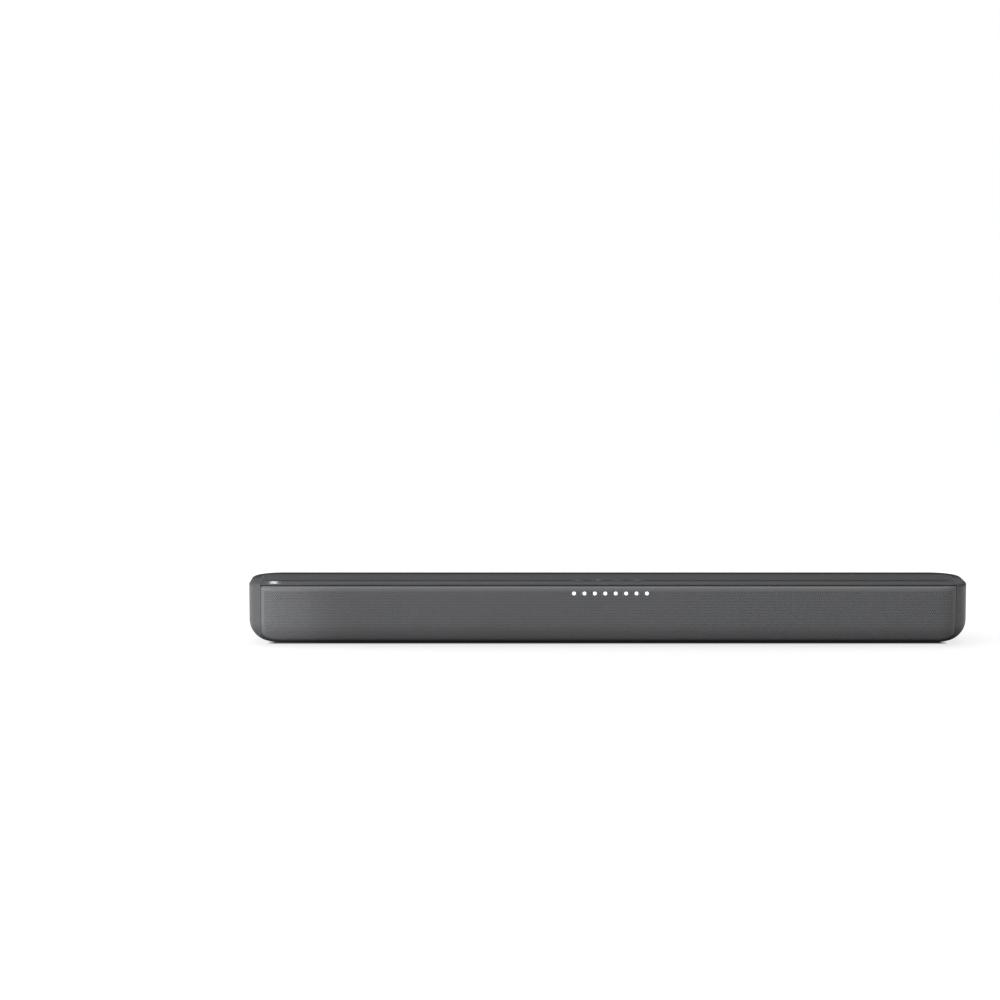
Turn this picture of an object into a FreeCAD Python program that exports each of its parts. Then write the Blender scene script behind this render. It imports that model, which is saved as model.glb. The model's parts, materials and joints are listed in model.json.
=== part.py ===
import FreeCAD, Part
import math
import os

# A free-standing soundbar: a long rounded case on four rubber feet, with a wrap-round
# perforated grille in front, an end cap on each end, top keys, a row of indicator
# lights, two racetrack woofers, two dome tweeters, and its electronics.
# Millimetres. +X is the listener's right, -Y is the front, +Z is up. The origin is
# on the resting plane, under the centre of the case.

Vector = FreeCAD.Vector
X_AXIS = Vector(1, 0, 0)
Y_AXIS = Vector(0, 1, 0)
Z_AXIS = Vector(0, 0, 1)

# Driving dimensions of the case.
LENGTH = 800.0
DEPTH = 100.0
HEIGHT = 70.0
FOOT_HEIGHT = 2.5
PLAN_RADIUS = 34.0
BELLY_RADIUS = 25.0
TOP_EDGE_RADIUS = 4.0
WALL = 2.5
FRONT = -DEPTH / 2
REAR = DEPTH / 2
FAR = LENGTH  # reach of a cutting box that has to pass everything

# Seams between the long case and the end caps.
CAP_SEAM = 385.0
SEAM_GAP = 0.2
TONGUE_REACH = 6.5
FRAME_HALF = 377.0

# The grille sits lower than the top cover, under the cover's overhanging lip.
GRILLE_DROP = 2.2
GRILLE_SHEET = 0.8
GRILLE_DEPTH = 9.8
GRILLE_FLANGE_DEPTH = 12.4
CLOTH_OUTSIDE = 0.85
CLOTH_INSIDE = 1.15
FRAME_OUTSIDE = 1.2
FRAME_INSIDE = 3.7
RING_OUTSIDE = 2.8
RING_INSIDE = 4.8
LIP_REACH = 8.5
LIP_THICKNESS = 1.2
LIP_RADIUS = 0.9
COVER_STEP_DEPTH = 12.8
COVER_SEAM_HEIGHT = 54.0

# Accent strip along the top, and the keys in it.
STRIP_Y = FRONT + 33.0
STRIP_WIDTH = 10.0
STRIP_HALF_LENGTH = 380.0
STRIP_THICKNESS = 1.6
STRIP_FLOOR = HEIGHT - 1.7
STRIP_SIDE_GAP = 0.15
KEY_PITCH = 22.0
KEY_LENGTH = 15.0
KEY_WIDTH = 6.6
KEY_GAP = 0.25
KEY_PROUD = 0.5
KEY_TRAVEL = 0.6
KEY_STEM_RADIUS = 1.5
KEY_BLOCK_UNDERSIDE = 64.8
KEY_BOARD_TOP = 57.0
SWITCH_TOP = 60.6
KEYS = ("power_button", "source_button", "volume_down_button", "volume_up_button")

# Indicator lights behind the grille.
LIGHT_COUNT = 8
LIGHT_PITCH = 11.5
LIGHT_CENTRE_X = 2.0
LIGHT_HEIGHT = 60.6
LIGHT_RADIUS = 2.0
LIGHT_BOARD_Y = FRONT + 6.6
IR_X = 62.0

# Baffle and drivers.
BAFFLE_Y = FRONT + 12.0
BAFFLE_THICKNESS = 3.0
BAFFLE_INSET = 5.0
DRIVER_HEIGHT = 38.5
WOOFER_X = 230.0
TWEETER_X = 335.0
WOOFER_STRAIGHT = 35.0
WOOFER_FLANGE_HALF_HEIGHT = 23.2
WOOFER_FLANGE_THICKNESS = 1.6
BASKET_OUTER = 20.0
BASKET_INNER = 19.2
BASKET_DEPTH = 18.0
CONE_EDGE = 16.0
CONE_DEPTH = 11.5
COIL_RADIUS = 10.0
CONE_TRAVEL = 3.0
TWEETER_FACE_RADIUS = 19.0
TWEETER_CUP_RADIUS = 14.5
TWEETER_THROAT = 12.6
TWEETER_DOME_RADIUS = 9.6

# Connector bay in the middle of the back.
BAY_HALF_WIDTH = 93.0
BAY_WALL = 2.0
BAY_DEPTH = 24.0
BAY_TOP = 42.0
BAY_WALL_FACE = REAR - BAY_DEPTH
BAY_WALL_BACK = BAY_WALL_FACE - BAY_WALL
BOARD_TOP = 15.6
BOARD_THICKNESS = 1.6
SOCKET_HEIGHT = 21.5
INLET_X = -68.0
INLET_NOSE_HALF = 5.8
OPTICAL_X = -24.0
HDMI_X = 6.0
USB_X = 36.0
AUX_X = 64.0
AUX_BORE_RADIUS = 1.8
AUX_BORE_LENGTH = 14.0
SHUTTER_PIN_RADIUS = 0.5

# Wall hanging plates, feet and case screws.
KEYHOLE_X = 260.0
KEYHOLE_ENTRY_HEIGHT = 37.0
KEYHOLE_ENTRY_RADIUS = 4.5
KEYHOLE_SLOT_RADIUS = 2.5
KEYHOLE_RISE = 9.0
PLATE_REAR = REAR - WALL - 0.05
PLATE_THICKNESS = 1.5
FOOT_X = 300.0
FOOT_Y = 15.0
FOOT_RADIUS = 6.0
FOOT_HALF_STRAIGHT = 20.0
POSTS = ((362, 10), (165, 22), (110, -22))
POST_RADIUS = 4.0
SCREW_SEAT = 36.0
POST_SPLIT = 49.0


def box(x, y, z):
    """A block between two values on each axis."""
    return Part.makeBox(x[1] - x[0], y[1] - y[0], z[1] - z[0], Vector(x[0], y[0], z[0]))


def slab_x(reach):
    """Everything within reach of the middle plane of the case."""
    return box((-reach, reach), (-FAR, FAR), (-FAR, FAR))


def rod(radius, start, end, axis=Y_AXIS, centre=(0, 0, 0)):
    """A cylinder between two values along an axis, centred on a point."""
    base = Vector(*centre) + axis * start
    return Part.makeCylinder(radius, end - start, base, axis)


def tube(outer, inner, start, end, axis=Y_AXIS, centre=(0, 0, 0)):
    """A ring or sleeve between two values along an axis."""
    return rod(outer, start, end, axis, centre).cut(rod(inner, start, end, axis, centre))


def fuse(shapes):
    """One solid made of several that touch."""
    joined = shapes[0].fuse(shapes[1:]) if len(shapes) > 1 else shapes[0]
    return joined.removeSplitter()


def group(shapes):
    """Several separate solids that are kept as one sub-part."""
    return Part.makeCompound([solid for shape in shapes for solid in shape.Solids])


def mirrored(shape):
    """The same shape on the other side of the middle plane."""
    return shape.mirror(Vector(0, 0, 0), X_AXIS)


def rounded_rectangle(half_x, half_z, radius, y, centre=(0, 0)):
    """A face in the plane of the front, with rounded corners."""
    corners = [(1, 1), (-1, 1), (-1, -1), (1, -1)]
    points = []
    for sign_x, sign_z in corners:
        pivot = Vector(
            centre[0] + sign_x * (half_x - radius), y, centre[1] + sign_z * (half_z - radius)
        )
        side_x = pivot + X_AXIS * (sign_x * radius)
        side_z = pivot + Z_AXIS * (sign_z * radius)
        middle = pivot + Vector(sign_x, 0, sign_z) * (radius / math.sqrt(2))
        first, last = (side_x, side_z) if sign_x == sign_z else (side_z, side_x)
        points.append((first, middle, last))
    edges = []
    for index, (first, middle, last) in enumerate(points):
        following = points[(index + 1) % 4][0]
        edges.append(Part.Arc(first, middle, last).toShape())
        if (following - last).Length > 1e-6:
            edges.append(Part.LineSegment(last, following).toShape())
    return Part.Face(Part.Wire(edges))


def plate(half_x, half_z, radius, start, end, centre=(0, 0)):
    """A rounded block that is extruded from front to back."""
    face = rounded_rectangle(half_x, half_z, radius, start, centre)
    return face.extrude(Y_AXIS * (end - start))


def flat_bar(half_x, radius, low, high, y):
    """A flat bar with round ends, lying level."""
    standing = plate(half_x, radius, radius, -high, -low, (0, y))
    return standing.rotate(Vector(0, 0, 0), X_AXIS, -90)


def racetrack(radius, start, end, centre_x):
    """A block with the outline of two half circles joined by straight runs."""
    return plate(
        WOOFER_STRAIGHT + radius, radius - 1e-4, radius - 1e-4, start, end, (centre_x, DRIVER_HEIGHT)
    )


def turned(profile, centre_x, height):
    """A ring turned about a front-to-back axis, from (radius, y) corners."""
    points = [Vector(centre_x + radius, y, height) for radius, y in profile]
    face = Part.Face(Part.makePolygon(points + points[:1]))
    return face.revolve(Vector(centre_x, 0, height), Y_AXIS, 360)


bodies_made = {}


def rounded_body(inset, drop=0.0):
    """The outer form of the whole bar, shrunk by inset, with its top lowered by drop."""
    key = (inset, drop)
    if key in bodies_made:
        return bodies_made[key]
    half_x = LENGTH / 2 - inset
    half_y = DEPTH / 2 - inset
    low = FOOT_HEIGHT + inset
    high = HEIGHT - drop - inset
    standing = plate(half_x, half_y, PLAN_RADIUS - inset, -high, -low)
    solid = standing.rotate(Vector(0, 0, 0), X_AXIS, -90)
    lower = [e for e in solid.Edges if e.BoundBox.ZMax < low + 1e-3]
    solid = solid.makeFillet(BELLY_RADIUS - inset, lower)
    if TOP_EDGE_RADIUS - inset > 0.1:
        upper = [e for e in solid.Edges if e.BoundBox.ZMin > high - 1e-3]
        solid = solid.makeFillet(TOP_EDGE_RADIUS - inset, upper)
    bodies_made[key] = solid
    return solid


def shell(outside, inside, drop=0.0):
    """The wall between two sizes of the outer form."""
    return rounded_body(outside, drop).cut(rounded_body(inside, drop))


def key_places():
    """The middle of each key along the strip."""
    first = -KEY_PITCH * (len(KEYS) - 1) / 2
    return [first + KEY_PITCH * index for index in range(len(KEYS))]


def light_places():
    """The middle of each indicator light along the front."""
    first = LIGHT_CENTRE_X - LIGHT_PITCH * (LIGHT_COUNT - 1) / 2
    return [first + LIGHT_PITCH * index for index in range(LIGHT_COUNT)]


def key_board_stakes():
    """Where the key board hangs from the top cover."""
    return [-41.5, 41.5]


def post_places():
    """The middles of the six posts that hold the case together."""
    return [(side * x, y) for x, y in POSTS for side in (-1, 1)]


def light_board_stakes():
    """Where the light board sits on the grille frame."""
    return [LIGHT_CENTRE_X - 45.5, LIGHT_CENTRE_X + 46.5]


def light_holes(radius, start, end):
    """Cutters for a hole at each indicator light."""
    return [rod(radius, start, end, Y_AXIS, (x, 0, LIGHT_HEIGHT)) for x in light_places()]


# Housing


def make_top_cover():
    """Top plate with its overhanging front lip, rear edge, key block and screw posts."""
    step = FRONT + COVER_STEP_DEPTH
    reach = CAP_SEAM - SEAM_GAP
    body = rounded_body(0)
    main = shell(0, WALL).common(box((-reach, reach), (step, FAR), (COVER_SEAM_HEIGHT, FAR)))
    lip_low = HEIGHT - LIP_THICKNESS
    lip = box((-reach, reach), (FRONT + LIP_REACH, step + 1), (lip_low, HEIGHT)).common(body)
    edges = [
        e for e in lip.Edges
        if e.BoundBox.YMax < FRONT + LIP_REACH + 1e-3 and e.BoundBox.ZMin > HEIGHT - 1e-3
    ]
    lip = lip.makeFillet(LIP_RADIUS, edges)
    half_keys = KEY_PITCH * len(KEYS) / 2 + 6
    block = box(
        (-half_keys, half_keys),
        (STRIP_Y - STRIP_WIDTH, STRIP_Y + STRIP_WIDTH),
        (KEY_BLOCK_UNDERSIDE, HEIGHT - WALL + 0.1),
    )
    posts = [
        rod(POST_RADIUS, POST_SPLIT + 0.2, HEIGHT - WALL + 0.1, Z_AXIS, (x, y, 0))
        for x, y in post_places()
    ]
    for x in key_board_stakes():
        posts.append(rod(2.6, KEY_BOARD_TOP, KEY_BLOCK_UNDERSIDE + 0.1, Z_AXIS, (x, STRIP_Y, 0)))
        posts.append(rod(1.2, KEY_BOARD_TOP - 2.4, KEY_BOARD_TOP + 0.1, Z_AXIS, (x, STRIP_Y, 0)))
    cover = fuse([main, lip, block] + posts)
    channel = flat_bar(
        STRIP_HALF_LENGTH + STRIP_SIDE_GAP,
        STRIP_WIDTH / 2 + STRIP_SIDE_GAP,
        STRIP_FLOOR,
        HEIGHT + 1,
        STRIP_Y,
    )
    stems = [
        rod(KEY_STEM_RADIUS + 0.3, 60, HEIGHT, Z_AXIS, (x, STRIP_Y, 0)) for x in key_places()
    ]
    pilots = [
        rod(1.25, POST_SPLIT - 1, POST_SPLIT + 11, Z_AXIS, (x, y, 0)) for x, y in post_places()
    ]
    return cover.cut([channel] + stems + pilots)


def make_bottom_case():
    """Belly and back wall, with screw posts, board standoffs and the bay opening."""
    reach = CAP_SEAM - SEAM_GAP
    front_edge = FRONT + GRILLE_DEPTH + 0.4
    region = box((-reach, reach), (front_edge, FAR), (-FAR, COVER_SEAM_HEIGHT - SEAM_GAP))
    main = shell(0, WALL).common(region)
    floor = FOOT_HEIGHT + WALL
    posts = [
        rod(POST_RADIUS + 0.6, floor - 1.2, POST_SPLIT, Z_AXIS, (x, y, 0))
        for x, y in post_places()
    ]
    standoffs = [
        rod(3.0, floor - 1, BOARD_TOP - BOARD_THICKNESS, Z_AXIS, (x, y, 0))
        for x, y in board_screw_places()
    ]
    case = fuse([main] + posts + standoffs)
    bay = box(
        (-BAY_HALF_WIDTH, BAY_HALF_WIDTH), (BAY_WALL_FACE, FAR), (-FAR, BAY_TOP - BAY_WALL)
    )
    counterbores = [rod(3.2, -1, SCREW_SEAT, Z_AXIS, (x, y, 0)) for x, y in post_places()]
    clearances = [rod(1.7, 0, POST_SPLIT + 1, Z_AXIS, (x, y, 0)) for x, y in post_places()]
    pilots = [
        rod(1.1, floor + 1, BOARD_TOP, Z_AXIS, (x, y, 0)) for x, y in board_screw_places()
    ]
    windows = [
        plate(6.5, 10.5, 6.4, REAR - 8, REAR + 1, (x, KEYHOLE_ENTRY_HEIGHT + KEYHOLE_RISE / 2))
        for x in (-KEYHOLE_X, KEYHOLE_X)
    ]
    sockets = [
        foot_shape(x, y, FOOT_HEIGHT - 1, FOOT_HEIGHT + 0.8, 0.1) for x, y in foot_places()
    ]
    cutters = [bay] + counterbores + clearances + pilots + windows + sockets
    stakes = [plate_stake(place) for place in plate_stake_places()]
    return fuse([case.cut(cutters)] + stakes)


def make_right_end_cap():
    """Moulded cap with a flange and a tongue that plugs into the long case."""
    outer = CAP_SEAM + SEAM_GAP
    wall = shell(0, WALL).common(box((outer, FAR), (-FAR, FAR), (-FAR, FAR)))
    ring = rounded_body(WALL - 0.5).cut(rounded_body(RING_INSIDE, GRILLE_DROP))
    flange = ring.common(box((outer, outer + 2), (-FAR, FAR), (-FAR, FAR)))
    tongue = shell(RING_OUTSIDE, RING_INSIDE, GRILLE_DROP).common(
        box((CAP_SEAM - TONGUE_REACH, outer + 1), (-FAR, FAR), (-FAR, FAR))
    )
    return fuse([wall, flange, tongue])


def grille_region(y_low_part, y_top_part):
    """Front zone of the bar: shallow at the belly, deeper under the cover's lip."""
    middle = HEIGHT / 2
    low = box((-FAR, FAR), (-FAR, y_low_part), (-FAR, middle))
    high = box((-FAR, FAR), (-FAR, y_top_part), (middle, FAR))
    return low.fuse(high)


def make_front_grille():
    """Painted steel sheet that wraps the front and returns under the lip and belly."""
    region = grille_region(FRONT + GRILLE_DEPTH, FRONT + GRILLE_FLANGE_DEPTH)
    sheet = shell(0, GRILLE_SHEET, GRILLE_DROP).common(region)
    sheet = sheet.common(slab_x(CAP_SEAM - SEAM_GAP))
    return sheet.cut(light_holes(LIGHT_RADIUS + 0.1, FRONT - 1, FRONT + 3))


def make_grille_cloth():
    """Acoustic cloth lining the inside of the grille."""
    region = box((-FRAME_HALF, FRAME_HALF), (-FAR, FRONT + 6), (-FAR, FAR))
    sheet = shell(CLOTH_OUTSIDE, CLOTH_INSIDE, GRILLE_DROP).common(region)
    return sheet.cut(light_holes(LIGHT_RADIUS + 0.1, FRONT - 1, FRONT + 3))


def make_grille_frame():
    """Plastic frame with ribs that carries the grille and the light guides."""
    front_zone = box((-FRAME_HALF, FRAME_HALF), (-FAR, FRONT + GRILLE_DEPTH - 0.2), (-FAR, FAR))
    front = shell(FRAME_OUTSIDE, FRAME_INSIDE, GRILLE_DROP).common(front_zone)
    ring_zone = box((-FRAME_HALF, FRAME_HALF), (FRONT + 7, FRONT + 17), (-FAR, FAR))
    ring = shell(RING_OUTSIDE, RING_INSIDE, GRILLE_DROP).common(ring_zone)
    frame = fuse([front, ring])
    window_count = 8
    rib = 7.0
    pitch = 2 * (FRAME_HALF - 4) / window_count
    windows = []
    for index in range(window_count):
        left = -FRAME_HALF + 4 + pitch * index + rib / 2
        windows.append(
            box((left, left + pitch - rib), (FRONT - 1, FRONT + 6.2), (18.0, 56.0))
        )
    holes = light_holes(LIGHT_RADIUS + 0.1, FRONT - 1, FRONT + 6)
    receiver = box((IR_X - 4, IR_X + 4), (FRONT - 1, FRONT + 6), (57.0, 63.4))
    bosses = []
    for x in light_board_stakes():
        centre = (x, 0, LIGHT_HEIGHT)
        bosses.append(rod(1.9, FRONT + FRAME_INSIDE - 0.1, LIGHT_BOARD_Y, Y_AXIS, centre))
        bosses.append(rod(1.0, LIGHT_BOARD_Y - 0.1, LIGHT_BOARD_Y + 1.9, Y_AXIS, centre))
    return fuse([frame.cut(windows + holes + [receiver])] + bosses)


def make_accent_strip():
    """Gloss strip let into the top cover, with a hole for each key."""
    strip = flat_bar(
        STRIP_HALF_LENGTH,
        STRIP_WIDTH / 2,
        STRIP_FLOOR + 0.05,
        STRIP_FLOOR + 0.05 + STRIP_THICKNESS,
        STRIP_Y,
    )
    return strip.cut([key_block(x, KEY_GAP, STRIP_FLOOR - 1, HEIGHT + 1) for x in key_places()])


def key_block(x, growth, low, high):
    """A rounded block with the outline of one key."""
    standing = plate(
        KEY_LENGTH / 2 + growth, KEY_WIDTH / 2 + growth, 2.2 + growth, -high, -low, (x, STRIP_Y)
    )
    return standing.rotate(Vector(0, 0, 0), X_AXIS, -90)


def make_key(x):
    """One top key: a cap that stands a little proud, on a stem down to its switch."""
    low = STRIP_FLOOR + KEY_TRAVEL + 0.15
    cap = key_block(x, 0, low, HEIGHT + KEY_PROUD)
    top_edges = [e for e in cap.Edges if e.BoundBox.ZMin > HEIGHT + KEY_PROUD - 1e-3]
    cap = cap.makeFillet(0.4, top_edges)
    stem = rod(KEY_STEM_RADIUS, SWITCH_TOP - 0.2, low + 0.1, Z_AXIS, (x, STRIP_Y, 0))
    return fuse([cap, stem])


def foot_places():
    """The middles of the four feet."""
    return [(x, y) for x in (-FOOT_X, FOOT_X) for y in (-FOOT_Y, FOOT_Y)]


def foot_shape(x, y, low, high, growth=0.0):
    """A flat rubber pad with round ends."""
    pad = flat_bar(FOOT_HALF_STRAIGHT + FOOT_RADIUS + growth, FOOT_RADIUS + growth, low, high, y)
    return pad.translate(Vector(x, 0, 0))


def make_feet():
    """Four rubber pads let into the belly."""
    return group([foot_shape(x, y, 0, FOOT_HEIGHT + 0.75) for x, y in foot_places()])


def make_case_screws():
    """Six pan-head screws that pull the belly up to the top cover."""
    screws = []
    for x, y in post_places():
        head = rod(2.8, SCREW_SEAT - 2.2, SCREW_SEAT, Z_AXIS, (x, y, 0))
        shank = rod(1.2, SCREW_SEAT - 0.1, POST_SPLIT + 9, Z_AXIS, (x, y, 0))
        recess = rod(1.1, SCREW_SEAT - 2.3, SCREW_SEAT - 1.0, Z_AXIS, (x, y, 0))
        screws.append(fuse([head, shank]).cut(recess))
    return group(screws)


def plate_stake_places():
    """The middles of the two moulded stakes that hold each wall plate."""
    height = KEYHOLE_ENTRY_HEIGHT + KEYHOLE_RISE / 2
    return [(side * KEYHOLE_X + step, 0, height) for side in (-1, 1) for step in (-12.0, 12.0)]


def plate_stake(place):
    """A stake on the back wall, melted over into a head behind the plate."""
    head_face = PLATE_REAR - PLATE_THICKNESS
    shank = rod(1.25, head_face - 0.3, REAR - WALL + 0.1, Y_AXIS, place)
    return fuse([shank, rod(2.3, head_face - 0.9, head_face - 0.05, Y_AXIS, place)])


def make_wall_plates():
    """Two steel plates with keyholes, inside the back wall."""
    plates = []
    front, rear = PLATE_REAR - PLATE_THICKNESS, PLATE_REAR
    top = KEYHOLE_ENTRY_HEIGHT + KEYHOLE_RISE
    for x in (-KEYHOLE_X, KEYHOLE_X):
        middle = KEYHOLE_ENTRY_HEIGHT + KEYHOLE_RISE / 2
        sheet = plate(16.0, 12.0, 3.0, front, rear, (x, middle))
        entry = rod(
            KEYHOLE_ENTRY_RADIUS, front - 1, rear + 1, Y_AXIS, (x, 0, KEYHOLE_ENTRY_HEIGHT)
        )
        slot_end = rod(KEYHOLE_SLOT_RADIUS, front - 1, rear + 1, Y_AXIS, (x, 0, top))
        slot = box(
            (x - KEYHOLE_SLOT_RADIUS, x + KEYHOLE_SLOT_RADIUS),
            (front - 1, rear + 1),
            (KEYHOLE_ENTRY_HEIGHT, top),
        )
        plates.append(sheet.cut([entry, slot_end, slot]))
    holes = [rod(1.35, front - 1, rear + 1, Y_AXIS, place) for place in plate_stake_places()]
    return group([p.cut(holes) for p in plates])


# Sound


def make_front_baffle():
    """Upright board that carries the four drivers."""
    zone = box((-FRAME_HALF + 1, FRAME_HALF - 1), (BAFFLE_Y, BAFFLE_Y + BAFFLE_THICKNESS), (0, FAR))
    board = rounded_body(BAFFLE_INSET, GRILLE_DROP).common(zone)
    start, end = BAFFLE_Y - 1, BAFFLE_Y + BAFFLE_THICKNESS + 1
    cutters = []
    for side in (-1, 1):
        cutters.append(racetrack(BASKET_OUTER + 0.3, start, end, side * WOOFER_X))
        cutters.append(
            rod(TWEETER_CUP_RADIUS + 0.3, start, end, Y_AXIS, (side * TWEETER_X, 0, DRIVER_HEIGHT))
        )
    cutters += [rod(1.3, start, end, Y_AXIS, place) for place in driver_screw_places()]
    return board.cut(cutters)


def driver_screw_places():
    """The middles of the screws that hold the drivers to the baffle."""
    places = []
    for side in (-1, 1):
        for step_x in (-1, 1):
            for step_z in (-1, 1):
                places.append(
                    (side * WOOFER_X + step_x * 53.5, 0, DRIVER_HEIGHT + step_z * 18.6)
                )
        for step_z in (-1, 1):
            places.append((side * TWEETER_X, 0, DRIVER_HEIGHT + step_z * 16.6))
    return places


def make_driver_screws():
    """Twelve screws that hold the drivers to the baffle."""
    seat = BAFFLE_Y - WOOFER_FLANGE_THICKNESS
    screws = []
    for place in driver_screw_places():
        head = rod(2.0, seat - 1.4, seat, Y_AXIS, place)
        shank = rod(1.2, seat - 0.1, BAFFLE_Y + BAFFLE_THICKNESS + 3, Y_AXIS, place)
        screws.append(fuse([head, shank]))
    return group(screws)


def make_woofer_basket(x):
    """Pressed frame with a rectangular flange, a racetrack cup and six windows."""
    seat = BAFFLE_Y - WOOFER_FLANGE_THICKNESS
    back = BAFFLE_Y + BASKET_DEPTH
    flange = plate(
        WOOFER_STRAIGHT + WOOFER_FLANGE_HALF_HEIGHT,
        WOOFER_FLANGE_HALF_HEIGHT,
        3.0,
        seat,
        BAFFLE_Y,
        (x, DRIVER_HEIGHT),
    )
    cup = racetrack(BASKET_OUTER, seat, back, x)
    hollow = racetrack(BASKET_INNER, seat - 1, back - 1.5, x)
    landing = tube(18.5, 15.0, spider_landing(), back - 1.4, Y_AXIS, (x, 0, DRIVER_HEIGHT))
    hole = rod(12.2, back - 9, back + 1, Y_AXIS, (x, 0, DRIVER_HEIGHT))
    basket = fuse([fuse([flange, cup]).cut(hollow), landing]).cut(hole)
    side_windows = [
        box((x + step - 9, x + step + 9), (BAFFLE_Y + 4, back - 3), (0, HEIGHT))
        for step in (-34.0, 34.0)
    ]
    end_windows = box((x - 60, x + 60), (BAFFLE_Y + 4, back - 3), (DRIVER_HEIGHT - 8, DRIVER_HEIGHT + 8))
    screw_holes = [rod(1.3, seat - 1, BAFFLE_Y + 1, Y_AXIS, place) for place in driver_screw_places()]
    keep = box((x - 22, x + 22), (-FAR, FAR), (0, FAR))
    return basket.cut(side_windows + [end_windows.cut(keep)] + screw_holes)


def motor_front():
    """Where the woofer's motor starts, behind its basket."""
    return BAFFLE_Y + BASKET_DEPTH


def spider_landing():
    """The ledge in the basket that the spider's rim is glued to."""
    return motor_front() - 5.0


def make_woofer_top_plate(x):
    """Steel ring at the front of the motor."""
    return tube(21.0, 11.0, motor_front(), motor_front() + 4, Y_AXIS, (x, 0, DRIVER_HEIGHT))


def make_woofer_magnet(x):
    """Ferrite ring."""
    front = motor_front() + 4
    return tube(22.0, 12.5, front, front + 10, Y_AXIS, (x, 0, DRIVER_HEIGHT))


def make_woofer_yoke(x):
    """Back plate with its vented pole piece."""
    back_plate = motor_front() + 14
    profile = [
        (3.0, motor_front() - 0.5),
        (9.4, motor_front() - 0.5),
        (9.4, back_plate),
        (20.5, back_plate),
        (20.5, back_plate + 4),
        (3.0, back_plate + 4),
    ]
    return turned(profile, x, DRIVER_HEIGHT)


def cone_front():
    """The plane of the cone's outer edge."""
    return BAFFLE_Y - WOOFER_FLANGE_THICKNESS


def make_voice_coil(x):
    """Former with its winding, hanging in the magnet gap."""
    former_front = cone_front() + CONE_DEPTH - 2
    wind_front = motor_front() - 1.5
    profile = [
        (COIL_RADIUS - 0.1, former_front),
        (COIL_RADIUS + 0.15, former_front),
        (COIL_RADIUS + 0.15, wind_front),
        (COIL_RADIUS + 0.6, wind_front),
        (COIL_RADIUS + 0.6, wind_front + 6.5),
        (COIL_RADIUS - 0.1, wind_front + 6.5),
    ]
    return turned(profile, x, DRIVER_HEIGHT)


def racetrack_wire(radius, y, x, straight):
    """Outline of four edges, so that a circle and a racetrack loft onto each other."""
    short = 1e-2
    run = max(straight, short)
    top, low = DRIVER_HEIGHT + radius, DRIVER_HEIGHT - radius
    right, left = x + run, x - run
    edges = [
        Part.LineSegment(Vector(left, y, top), Vector(right, y, top)).toShape(),
        Part.Arc(
            Vector(right, y, top), Vector(right + radius, y, DRIVER_HEIGHT), Vector(right, y, low)
        ).toShape(),
        Part.LineSegment(Vector(right, y, low), Vector(left, y, low)).toShape(),
        Part.Arc(
            Vector(left, y, low), Vector(left - radius, y, DRIVER_HEIGHT), Vector(left, y, top)
        ).toShape(),
    ]
    return Part.Wire(edges)


def make_woofer_cone(x):
    """Paper cone that runs from a racetrack edge down to the round voice coil."""
    front, back = cone_front(), cone_front() + CONE_DEPTH
    neck = COIL_RADIUS + 0.2
    thickness = 0.5
    outside = Part.makeLoft(
        [
            racetrack_wire(CONE_EDGE + thickness, front, x, WOOFER_STRAIGHT),
            racetrack_wire(neck + thickness, back, x, 0),
        ],
        True,
        True,
    )
    inside = Part.makeLoft(
        [
            racetrack_wire(CONE_EDGE, front - 0.01, x, WOOFER_STRAIGHT),
            racetrack_wire(neck, back + 0.01, x, 0),
        ],
        True,
        True,
    )
    return outside.cut(inside)


def make_dust_cap(x):
    """Shallow dome over the voice coil."""
    base = cone_front() + CONE_DEPTH - 2.05
    rise = 4.0
    radius = (COIL_RADIUS**2 + rise**2) / (2 * rise)
    centre = Vector(x, base - rise + radius, DRIVER_HEIGHT)
    dome = Part.makeSphere(radius, centre).cut(Part.makeSphere(radius - 0.4, centre))
    return dome.common(rod(COIL_RADIUS + 0.1, base - rise - 1, base, Y_AXIS, (x, 0, DRIVER_HEIGHT)))


def racetrack_ring(outer, inner, start, end, x):
    """A racetrack outline with a racetrack hole."""
    return racetrack(outer, start, end, x).cut(racetrack(inner, start - 1, end + 1, x))


def make_woofer_surround(x):
    """Rubber half-roll between the cone's edge and the flange."""
    land_front = cone_front() - 0.5
    land_back = cone_front() - 0.02
    roll_centre = (CONE_EDGE + 0.5 + BASKET_INNER) / 2
    roll = (BASKET_INNER - CONE_EDGE - 0.5) / 2
    rolls = []
    for end in (-1, 1):
        ring = Part.makeTorus(roll_centre, roll + 0.25, Vector(0, 0, 0), Y_AXIS).cut(
            Part.makeTorus(roll_centre, roll - 0.25, Vector(0, 0, 0), Y_AXIS)
        )
        half = box((0, FAR), (-FAR, 0), (-FAR, FAR)) if end > 0 else box((-FAR, 0), (-FAR, 0), (-FAR, FAR))
        place = Vector(x + end * WOOFER_STRAIGHT, land_back, DRIVER_HEIGHT)
        rolls.append(ring.common(half).translate(place))
    for side in (-1, 1):
        centre = (x - WOOFER_STRAIGHT, land_back, DRIVER_HEIGHT + side * roll_centre)
        run = tube(roll + 0.25, roll - 0.25, 0, 2 * WOOFER_STRAIGHT, X_AXIS, centre)
        rolls.append(run.common(box((-FAR, FAR), (-FAR, land_back), (-FAR, FAR))))
    inner_land = racetrack_ring(
        CONE_EDGE + 0.6, CONE_EDGE - 0.4, land_front, land_back, x
    )
    outer_land = racetrack_ring(
        BASKET_INNER + 1.6, BASKET_INNER - 0.1, land_front, land_back, x
    )
    return fuse(rolls + [inner_land, outer_land])


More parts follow.
